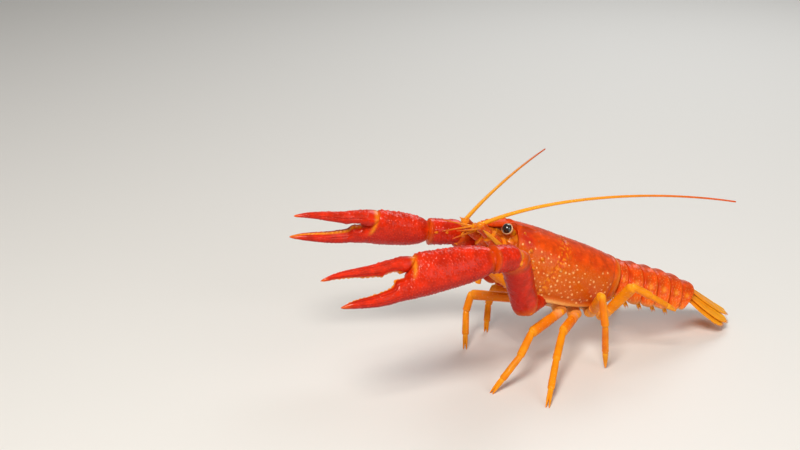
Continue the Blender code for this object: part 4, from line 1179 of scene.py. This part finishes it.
def make_leg(name, number):
    station, knee, wrist, foot, pincer = LEGS[name]
    sign = 1 if name.startswith("left") else -1
    depth = LEG_ROOT_DEPTH + REAR_LEG_LIFT * (station < 8)
    root = on_trunk(station, sign * (LEG_ROOT_SIDE - 2.0), depth + 2.0)
    hip = on_trunk(station, sign * (LEG_ROOT_SIDE + 2.6), depth - 0.4)
    knee, wrist = np.array(knee), np.array(wrist)
    foot = np.array((foot[0], foot[1], RAISED_FOOT.get(name, FOOT_CLEARANCE)))
    ankle = wrist + (foot - wrist) * ANKLE_SHARE
    split = hip + (knee - hip) * THIGH_SPLIT
    flat = unit(np.cross((0, 0, 1), foot - knee))
    thigh, hips, shank, end = LEG_RADII[:2], (HIP_RADIUS, HIP_RADIUS), LEG_RADII[2], LEG_RADII[3]

    mesh = new_mesh()
    add_limbs(mesh, np.array((0.3, 0.0, 1.0)), number, (
        (root, hip, hips, (30, 32), None, (0.1, 0.4), 0.1, 0.8),
        (hip, split, (thigh[0] * 0.92, thigh[1]), (30, 32), None, (0.3, 0.3), 0.2, 0.35),
        (split, knee, thigh, (76, 36), (26, 1.3, 0.3, 0.07), (0.3, 0.7), 0.3),
    ))
    add_ball(mesh, hip, 1.5)
    add_ball(mesh, knee, 1.15)
    place(mesh, f"{name}_thigh", leg_orange, "leg", f"{name}_upper")

    mesh = new_mesh()
    add_limbs(mesh, flat, number + 3, (
        (knee, wrist, (shank, shank), (44, 30), None, (0.7, 0.4), 0.3),
        (wrist, ankle, (end * 1.1, end), (60, 30), (18, 1.2, 0.22, 0.05), (0.4, 0.3), 0.35),
    ))
    add_ball(mesh, wrist, 0.85)
    if pincer:
        for lean in (FINGER_SPREAD, -FINGER_SPREAD):
            start, tip = ankle + flat * (lean * 0.25), foot + flat * (lean * 0.5)
            add_toe(mesh, start, tip, flat, end * 0.85, 18, 0.7)
    else:
        add_toe(mesh, ankle, foot, flat, end, 20)
    tuft = [ankle + (foot - ankle) * share for share in np.linspace(0.1, 0.7, 9)]
    aims = [unit(unit(foot - ankle) + flat * lean) for lean in np.linspace(-0.9, 0.9, 9)]
    add_bristles(mesh, tuft, aims, 1.3, 0.04, number)
    place(mesh, f"{name}_shank", leg_orange, "leg", f"{name}_lower")


for leg_number, leg_name in enumerate(LEGS):
    make_leg(leg_name, 500 + 10 * leg_number)

# %% [markdown]
# The head's front is crowded. A pair of stout bases carries the long whips, each base has a flat scale
# beside it, and a pair of small forked feelers stands between them, under the rostrum. The whips are
# hundreds of short rings, so their skin swells and narrows with each ring and shrinks towards the tip.

# %% Name the head's sizes
EYE_CENTRE = np.array((45.2, 6.3, 8.8))
EYE_RADIUS = 1.7
RIGHT_EYE_SHIFT = np.array((-1.2, -0.8, -1.9))
STALK_ROOT = np.array((41.0, 3.4, 7.6))
PEDUNCLE = ((41.5, 5.6, 1.2), (47.0, 7.2, 2.8), (51.0, 7.0, 5.3), (54.9, 6.2, 7.6))
PEDUNCLE_RADII = (3.0, 2.3, 1.7)
RIGHT_PEDUNCLE_DROP = (0.0, 0.2, 0.9, 1.7)
SCALE_BLADE = ((44.6, 9.7, 1.8), (54.6, 9.2, 6.6))
FEELER = ((41.8, 1.7, 5.8), (47.0, 1.7, 6.2), (53.0, 2.4, 5.6))
FEELER_WHIP = 11.0
MAXILLIPED = ((30.0, 2.9, -8.8), (38.0, 3.2, -8.6), (44.0, 3.0, -5.6), (47.5, 2.8, -7.6), (47.0, 2.6, -11.2))
LEFT_ANTENNA = ((12.0, 8.5, 59.0), (-18.0, 19.0, 62.5), (-49.2, 22.0, 55.5))
RIGHT_ANTENNA = ((19.0, -18.5, 52.8), (-1.0, -38.0, 53.6), (-16.5, -54.0, 52.5))
ANTENNA_RADII = (0.72, 0.25)
WHIP_SPLIT = 0.45
WHIP_RING = 0.55
WHIP_SIDES = 14


def head_points(table, sign):
    return [on_trunk(x, sign * y, z) for x, y, z in table]


def whip_piece(name, node, controls, low, high):
    """One length of a long whip, as a tube of rings along a bent line."""
    t = np.linspace(low, high, 1200)
    s = 1 - t
    shares = (s**3, 3 * s * s * t, 3 * s * t * t, t**3)
    line = sum(np.array(point, float) * share[:, None] for point, share in zip(controls, shares))
    centre, at, where = along_line(line, lambda length: int(length / WHIP_RING) * 4 + 1, t)
    axis = np.gradient(centre, axis=0)
    axis = axis / np.linalg.norm(axis, axis=1, keepdims=True)
    across = np.cross(axis, (0.0, 0.1, 1.0))
    across = across / np.linalg.norm(across, axis=1, keepdims=True)
    up = np.cross(axis, across)
    ring = np.pi * ((at / WHIP_RING) % 1.0)
    taper = ANTENNA_RADII[0] + (ANTENNA_RADII[1] - ANTENNA_RADII[0]) * where**0.8
    radius = taper * (0.9 + 0.16 * np.sin(ring) ** 0.7)
    radius[0] *= 0.0 if low > 0 else 1.0
    radius[-1] *= 0.0 if high == 1 else 0.9
    angle = np.arange(WHIP_SIDES) / WHIP_SIDES * TURN
    wide, tall = radius[:, None] * np.cos(angle), radius[:, None] * np.sin(angle)
    skin = centre[:, None] + across[:, None] * wide[..., None] + up[:, None] * tall[..., None]
    fade = smooth(where, 0.25, 1.0)
    marks = {
        "gold": 0.95 * (1 - fade) * (0.75 + 0.25 * np.sin(ring)),
        "side": 0.9 * fade,
        "deep": 0.35 * np.cos(ring) ** 8,
    }
    mesh = new_mesh()
    add_skin(mesh, skin, {word: np.repeat(row[:, None], WHIP_SIDES, 1) for word, row in marks.items()})
    place(mesh, name, feeler_gold, "feeler", node)


def make_whip(word, sign):
    """The stout base in three joints, and the whip in two lengths."""
    points = head_points(PEDUNCLE, sign)
    if sign < 0:
        points = [point - np.array((0, 0, drop)) for point, drop in zip(points, RIGHT_PEDUNCLE_DROP)]
    mesh = new_mesh()
    for number, radius in enumerate(PEDUNCLE_RADII):
        start, end = points[number], points[number + 1]
        size, grid, grain = (radius, radius), (50, 44), (30, 0.9, 0.3, 0.1)
        add_limb(mesh, start, end, LEVEL, 600 + number, size, grid, grain, (0.4, 0.9), 0.25)
        add_ball(mesh, end, radius * 0.66)
    aim = unit(points[1] - points[0]) + np.array((0, sign * 0.35, 0))
    add_spine(mesh, points[1] + np.array((0, sign * 2.0, -0.6)), aim, 1.8, 0.55)
    place(mesh, f"whip_base_{word}", face_red, "feeler", f"antenna_base_{word}")
    controls = (points[-1], *(LEFT_ANTENNA if sign > 0 else RIGHT_ANTENNA))
    whip_piece(f"whip_near_{word}", f"antenna_lower_{word}", controls, 0.0, WHIP_SPLIT)
    whip_piece(f"whip_far_{word}", f"antenna_upper_{word}", controls, WHIP_SPLIT, 1.0)


print("whip rings every", WHIP_RING, "mm")

# %% [markdown]
# The flat scale beside each base is a pointed blade with a raised rib along its outer side, a spine at its
# tip and a fringe of bristles along its inner edge.

# %% Make the antennae and their scales
SCALE_SHAPE = (
    (-0.08, 0.0, 0.0), (-0.04, 0.7, 0.5), (0.0, 1.0, 0.68), (0.15, 1.62, 0.62),
    (0.5, 1.9, 0.45), (0.8, 1.3, 0.3), (0.92, 0.7, 0.2), (1.0, 0.0, 0.0),
)
SCALE_SQUARENESS = 2.4


def make_scale(word, sign):
    root, tip = head_points(SCALE_BLADE, sign)
    flat = np.array((0.2, sign * 0.7, 0.6))
    skin, share, angle = spar(root, tip, flat, SCALE_SHAPE, 70, 56, SCALE_SQUARENESS)
    across = power(np.cos(angle), 2 / SCALE_SQUARENESS)
    faces = smooth(np.abs(np.sin(angle)), 0.05, 0.3)
    lift = 0.22 * ridge(across, 0.55, 0.1) * faces * between(share, 0.02, 0.15, 0.85, 1)
    mesh = new_mesh()
    add_skin(mesh, raise_by(skin, lift), {
        "gold": 0.55 + 0.4 * ridge(across, 0.55, 0.2),
        "side": 0.3 * smooth(share, 0.2, 0.9),
    })
    inner_edge = skin[:, skin.shape[1] // 2][(share[:, 0] > 0.2) & (share[:, 0] < 0.98)]
    roots = inner_edge[:: max(1, len(inner_edge) // 40)]
    axis, middle = unit(tip - root), (root + tip) / 2
    add_bristles(mesh, roots, [unit(axis + unit(spot - middle)) for spot in roots], 1.3, 0.045, 8)
    add_spine(mesh, tip - axis * 0.9, tip - root, 1.2, 0.35)
    place(mesh, f"whip_scale_{word}", feeler_gold, "feeler", f"antenna_scale_{word}")


for word, sign in SIDES:
    make_whip(word, sign)
    make_scale(word, sign)

# %% [markdown]
# The small feelers have three short joints and then two thin whips each.

# %% Make the small feelers
FEELER_RING = 0.42
FEELER_RADII = (0.42, 0.18)


def make_feeler(word, sign):
    points = head_points(FEELER, sign)
    middle = points[1] + (points[2] - points[1]) * 0.5
    stops = (points[0], points[1], middle, points[2])
    mesh = new_mesh()
    add_limbs(mesh, LEVEL, 700, [
        (stops[number], stops[number + 1], (radius, radius), (34, 26), None, (0.5, 0.9), 0.2)
        for number, radius in enumerate((1.4, 1.25, 1.0))
    ])
    ahead = unit(points[2] - points[1])
    for lift_by, spread in ((-0.06, 0.30), (-0.40, 0.10)):
        axis = unit(ahead + np.array((0, sign * spread, lift_by)))
        start = points[2] - axis * 1.2
        rings = int(FEELER_WHIP / FEELER_RING)
        table = []
        for step in range(rings * 2 + 1):
            share = step / (rings * 2)
            taper = FEELER_RADII[0] + (FEELER_RADII[1] - FEELER_RADII[0]) * share
            radius = taper * (1.0 if step % 2 else 0.84)
            table.append((share, radius, radius))
        table.append((1.01, 0.0, 0.0))
        skin, share, _ = spar(start, start + axis * FEELER_WHIP, LEVEL, table, rings * 4, 12, rounding=0.0)
        add_skin(mesh, skin, {"gold": 0.6 * (1 - share), "side": share_of(share)})
    place(mesh, f"feeler_fork_{word}", feeler_gold, "feeler", f"feeler_{word}")


for word, sign in SIDES:
    make_feeler(word, sign)

# %% [markdown]
# The eyes are black balls on short stalks. A compound eye is a dome of many tiny lenses, so the finish
# has a very fine cell pattern in its bump under a clear, glossy coat. The stalk's rim is pale.

# %% Make the eyes
def eye_finish():
    finish = bpy.data.materials.new("eye_black")
    finish.use_nodes = True
    nodes, links = finish.node_tree.nodes, finish.node_tree.links
    shader = nodes["Principled BSDF"]
    where = nodes.new("ShaderNodeTexCoord").outputs["Object"]
    cells = nodes.new("ShaderNodeTexVoronoi")
    cells.inputs["Scale"].default_value = 1 / 0.00011
    links.new(where, cells.inputs["Vector"])
    tone = nodes.new("ShaderNodeMix")
    tone.data_type = "RGBA"
    tone.inputs[6].default_value = (0.004, 0.003, 0.003, 1)
    tone.inputs[7].default_value = (0.022, 0.013, 0.009, 1)
    links.new(cells.outputs["Distance"], tone.inputs["Factor"])
    links.new(tone.outputs[2], shader.inputs["Base Color"])
    lens_bump = nodes.new("ShaderNodeBump")
    lens_bump.inputs["Strength"].default_value = 0.08
    lens_bump.inputs["Distance"].default_value = 0.00002
    links.new(cells.outputs["Distance"], lens_bump.inputs["Height"])
    links.new(lens_bump.outputs["Normal"], shader.inputs["Normal"])
    shader.inputs["Roughness"].default_value = 0.16
    shader.inputs["Coat Weight"].default_value = 1.0
    shader.inputs["Coat Roughness"].default_value = 0.03
    return finish


eye_black = eye_finish()
# Along the stalk: the share of its length, and its radius.
STALK_SHAPE = (
    (-0.2, 0.0), (-0.15, 0.8), (0.0, 1.15), (0.4, 1.25), (0.72, 1.5), (0.88, 1.78), (0.95, 1.8), (1.0, 1.62),
    (1.01, 0.0),
)
RIM_REACH = 0.35


def make_eye(word, sign):
    x, y, z = EYE_CENTRE + (RIGHT_EYE_SHIFT if sign < 0 else 0.0)
    centre = on_trunk(x, sign * y, z)
    root = on_trunk(STALK_ROOT[0], sign * STALK_ROOT[1], STALK_ROOT[2])
    mesh = new_mesh()
    spot = Matrix.Translation((centre - ORIGIN) * MM)
    bmesh.ops.create_uvsphere(mesh, u_segments=64, v_segments=40, radius=EYE_RADIUS * MM, matrix=spot)
    place(mesh, f"eye_ball_{word}", eye_black, "eye", f"eye_{word}")
    reach = centre - root + unit(centre - root) * RIM_REACH
    table = [(share, radius, radius) for share, radius in STALK_SHAPE]
    skin, share, _ = spar(root, root + reach, np.array((0.0, 0.0, 1.0)), table, 60, 48, rounding=0.3)
    mesh = new_mesh()
    add_skin(mesh, raise_by(skin, 0.04 * rough(skin, 0.9, 2.0)), {
        "pale": 0.75 * smooth(share, 0.8, 0.92),
        "gold": 0.5 * (1 - smooth(share, 0.3, 0.8)),
        "side": 0.6 * ridge(share, 0.7, 0.12),
    })
    place(mesh, f"eye_stalk_{word}", feeler_gold, "feeler", f"eyestalk_{word}")


for word, sign in SIDES:
    make_eye(word, sign)

# %% [markdown]
# Below the feelers come the face, the mouth legs and the breast. The mouth legs fold forward under the
# head, with a comb of bristles along the inner edge. The breast is the pale plate between the leg roots.

# %% Make the face, the mouth legs and the breast
# The face by distance ahead: its half width, its top and its bottom.
FACE_ROWS = (
    (37.0, 3.0, 6.0, -3.0), (38.0, 6.0, 8.6, -5.0), (42.0, 6.2, 8.4, -5.0),
    (43.6, 5.4, 7.4, -4.2), (44.4, 3.9, 6.2, -3.0), (44.9, 0.0, 1.5, 1.5),
)
# The breast by distance ahead: its half width.
BREAST_ROWS = (
    (-0.4, 0.0), (0.6, 4.8), (7, 5.6), (14, 6.2), (22, 6.4),
    (28, 6.4), (33, 5.8), (37, 5.2), (40.5, 4.2), (41.0, 0.0),
)
MOUTH_LEG_RADII = ((1.9, 1.6), (1.8, 1.5), (1.4, 1.2), (1.1, 0.9))
COMB_BRISTLES = 22


def make_face():
    x, angle = sheet_of(90, 96, FACE_ROWS[0][0], FACE_ROWS[-1][0])
    width, top, bottom = (curve(FACE_ROWS, x, column) for column in (1, 2, 3))
    y = np.abs(width) * power(np.cos(angle), 0.8)
    z = (top + bottom) / 2 + (top - bottom) / 2 * power(np.sin(angle), 0.8)
    skin = on_trunk(x, y, z)
    ripple = 0.35 * rough(skin, 1.6, 6.0) + 0.2 * rough(skin, 0.7, 7.0)
    lift, tips = grains(skin, spots_on(skin, 90, smooth(x, 39, 41), 0.8, 61), 0.4, 0.2, 62)
    middle = ridge(y, 0.0, 0.5) * smooth(x, 41, 43)
    mesh = new_mesh()
    add_skin(mesh, raise_by(skin, lift + ripple - 0.3 * middle), {
        "gold": share_of(0.35 + 0.5 * rough(skin, 1.8, 8.0)),
        "deep": 0.4 * middle,
        "pale": 0.3 * smooth(tips, 0.4, 1),
        "side": smooth(-np.sin(angle), 0, 0.8),
    })
    place(mesh, "head_front", face_red, "feeler", "face")


def make_mouth_leg(word, sign):
    points = head_points(MAXILLIPED, sign)
    inner = np.array((0.0, -sign, 0.0))
    mesh = new_mesh()
    for number, size in enumerate(MOUTH_LEG_RADII):
        start, end = points[number], points[number + 1]
        add_limb(mesh, start, end, LEVEL, 800 + number, size, (48, 36), (22, 0.9, 0.28, 0.1), (0.7, 0.8), 0.4)
        shares = np.linspace(0.1, 0.9, COMB_BRISTLES)
        roots = [start + (end - start) * share + inner * size[0] * 0.75 for share in shares]
        aim = unit(inner * 0.8 + unit(end - start) * 0.9 + np.array((0, 0, -0.3)))
        add_bristles(mesh, roots, [aim] * COMB_BRISTLES, 1.6, 0.05, 80 + number)
    place(mesh, f"mouth_limb_{word}", leg_orange, "leg", f"mouth_leg_{word}")


def make_breast():
    x, angle = sheet_of(150, 96, BREAST_ROWS[0][0], BREAST_ROWS[-1][0])
    half_width = np.abs(curve(BREAST_ROWS, x))
    edge = curve(SHELL_EDGE, x)
    top, bottom = edge + UNDER_RECESS + 0.4, np.minimum(edge - 2.4, -7.5)
    arch = power(np.sin(angle), 0.8) * smooth(half_width, 0.0, 2.0)
    z = (top + bottom) / 2 + (top - bottom) / 2 * arch
    y = half_width * power(np.cos(angle), 0.8) * (1 - 0.35 * share_of(-np.sin(angle)))
    skin = on_trunk(x, y, z)
    under = smooth(-np.sin(angle), 0.2, 0.8)
    plates = sum(ridge(x, leg[0] + 3.0, 0.5) for leg in list(LEGS.values())[:4])
    lift = -0.45 * plates * under - 0.5 * ridge(y, 0.0, 0.45) * under + 0.12 * rough(skin, 1.5, 4.0)
    mesh = new_mesh()
    add_skin(mesh, raise_by(skin, lift), {
        "gold": share_of(0.45 * plates * under),
        "side": 1 - under,
        "deep": 0.3 * ridge(y, 0.0, 0.6) * under,
    })
    place(mesh, "breast_plate", belly_cream, "pale", "underside")


make_face()
for word, sign in SIDES:
    make_mouth_leg(word, sign)
make_breast()

# %% [markdown]
# The floor is one wide pale sheet. A large soft light stands high on the near side, a second fills the
# shadows from the front, and a third behind draws a bright line along the back.

# %% Set the floor and the lights
def plain_finish(name, colour, roughness):
    finish = bpy.data.materials.new(name)
    finish.use_nodes = True
    shader = finish.node_tree.nodes["Principled BSDF"]
    shader.inputs["Base Color"].default_value = (*colour, 1.0)
    shader.inputs["Roughness"].default_value = roughness
    return finish


floor_mesh = bmesh.new()
bmesh.ops.create_grid(floor_mesh, x_segments=1, y_segments=1, size=3.0)
floor_data = bpy.data.meshes.new("studio_floor")
floor_mesh.to_mesh(floor_data)
floor_mesh.free()
floor = bpy.data.objects.new("studio_floor", floor_data)
floor_data.materials.append(plain_finish("pale_floor", (0.80, 0.79, 0.77), 0.7))
bpy.context.scene.collection.objects.link(floor)


def soft_light(name, spot, aim, size, watts, tint=(1.0, 1.0, 1.0)):
    lamp = bpy.data.lights.new(name, "AREA")
    lamp.shape = "DISK"
    lamp.size = size
    lamp.energy = watts
    lamp.color = tint
    holder = bpy.data.objects.new(name, lamp)
    holder.location = spot
    holder.rotation_euler = (Vector(aim) - Vector(spot)).to_track_quat("-Z", "Y").to_euler()
    bpy.context.scene.collection.objects.link(holder)


soft_light("key_light", (0.25, 0.35, 0.60), (0.0, 0.0, 0.03), 0.26, 4.2, (1.0, 0.94, 0.86))
soft_light("fill_light", (-0.28, 0.65, 0.35), (0.0, 0.0, 0.03), 0.5, 1.3)
soft_light("back_light", (-0.35, -0.45, 0.50), (0.0, 0.0, 0.03), 0.4, 1.7, (0.95, 0.98, 1.0))
sky = bpy.data.worlds.new("studio")
sky.use_nodes = True
sky.node_tree.nodes["Background"].inputs["Color"].default_value = (0.88, 0.86, 0.82, 1.0)
sky.node_tree.nodes["Background"].inputs["Strength"].default_value = 0.24
bpy.context.scene.world = sky
bpy.context.scene.view_settings.view_transform = "Standard"
print("lights:", len(bpy.data.lights))

# %% [markdown]
# The camera stands where the photographer's did: ahead of the crayfish on its left side, a little above.

# %% Place the camera
CAMERA_SPOT = (np.array((161.6, 332.4, 192.7)) - ORIGIN) * MM
HEADING, HEIGHT_ANGLE = math.radians(17.5), math.radians(22.0)
LENS = 54.0
towards = -Vector((
    math.sin(HEADING) * math.cos(HEIGHT_ANGLE),
    math.cos(HEADING) * math.cos(HEIGHT_ANGLE),
    math.sin(HEIGHT_ANGLE),
))
lens = bpy.data.cameras.new("camera")
lens.lens = LENS
lens.clip_start = 0.01
viewer = bpy.data.objects.new("camera", lens)
viewer.location = CAMERA_SPOT
viewer.rotation_euler = towards.to_track_quat("-Z", "Y").to_euler()
bpy.context.scene.collection.objects.link(viewer)
bpy.context.scene.camera = viewer
print("camera at", [round(value, 4) for value in viewer.location])
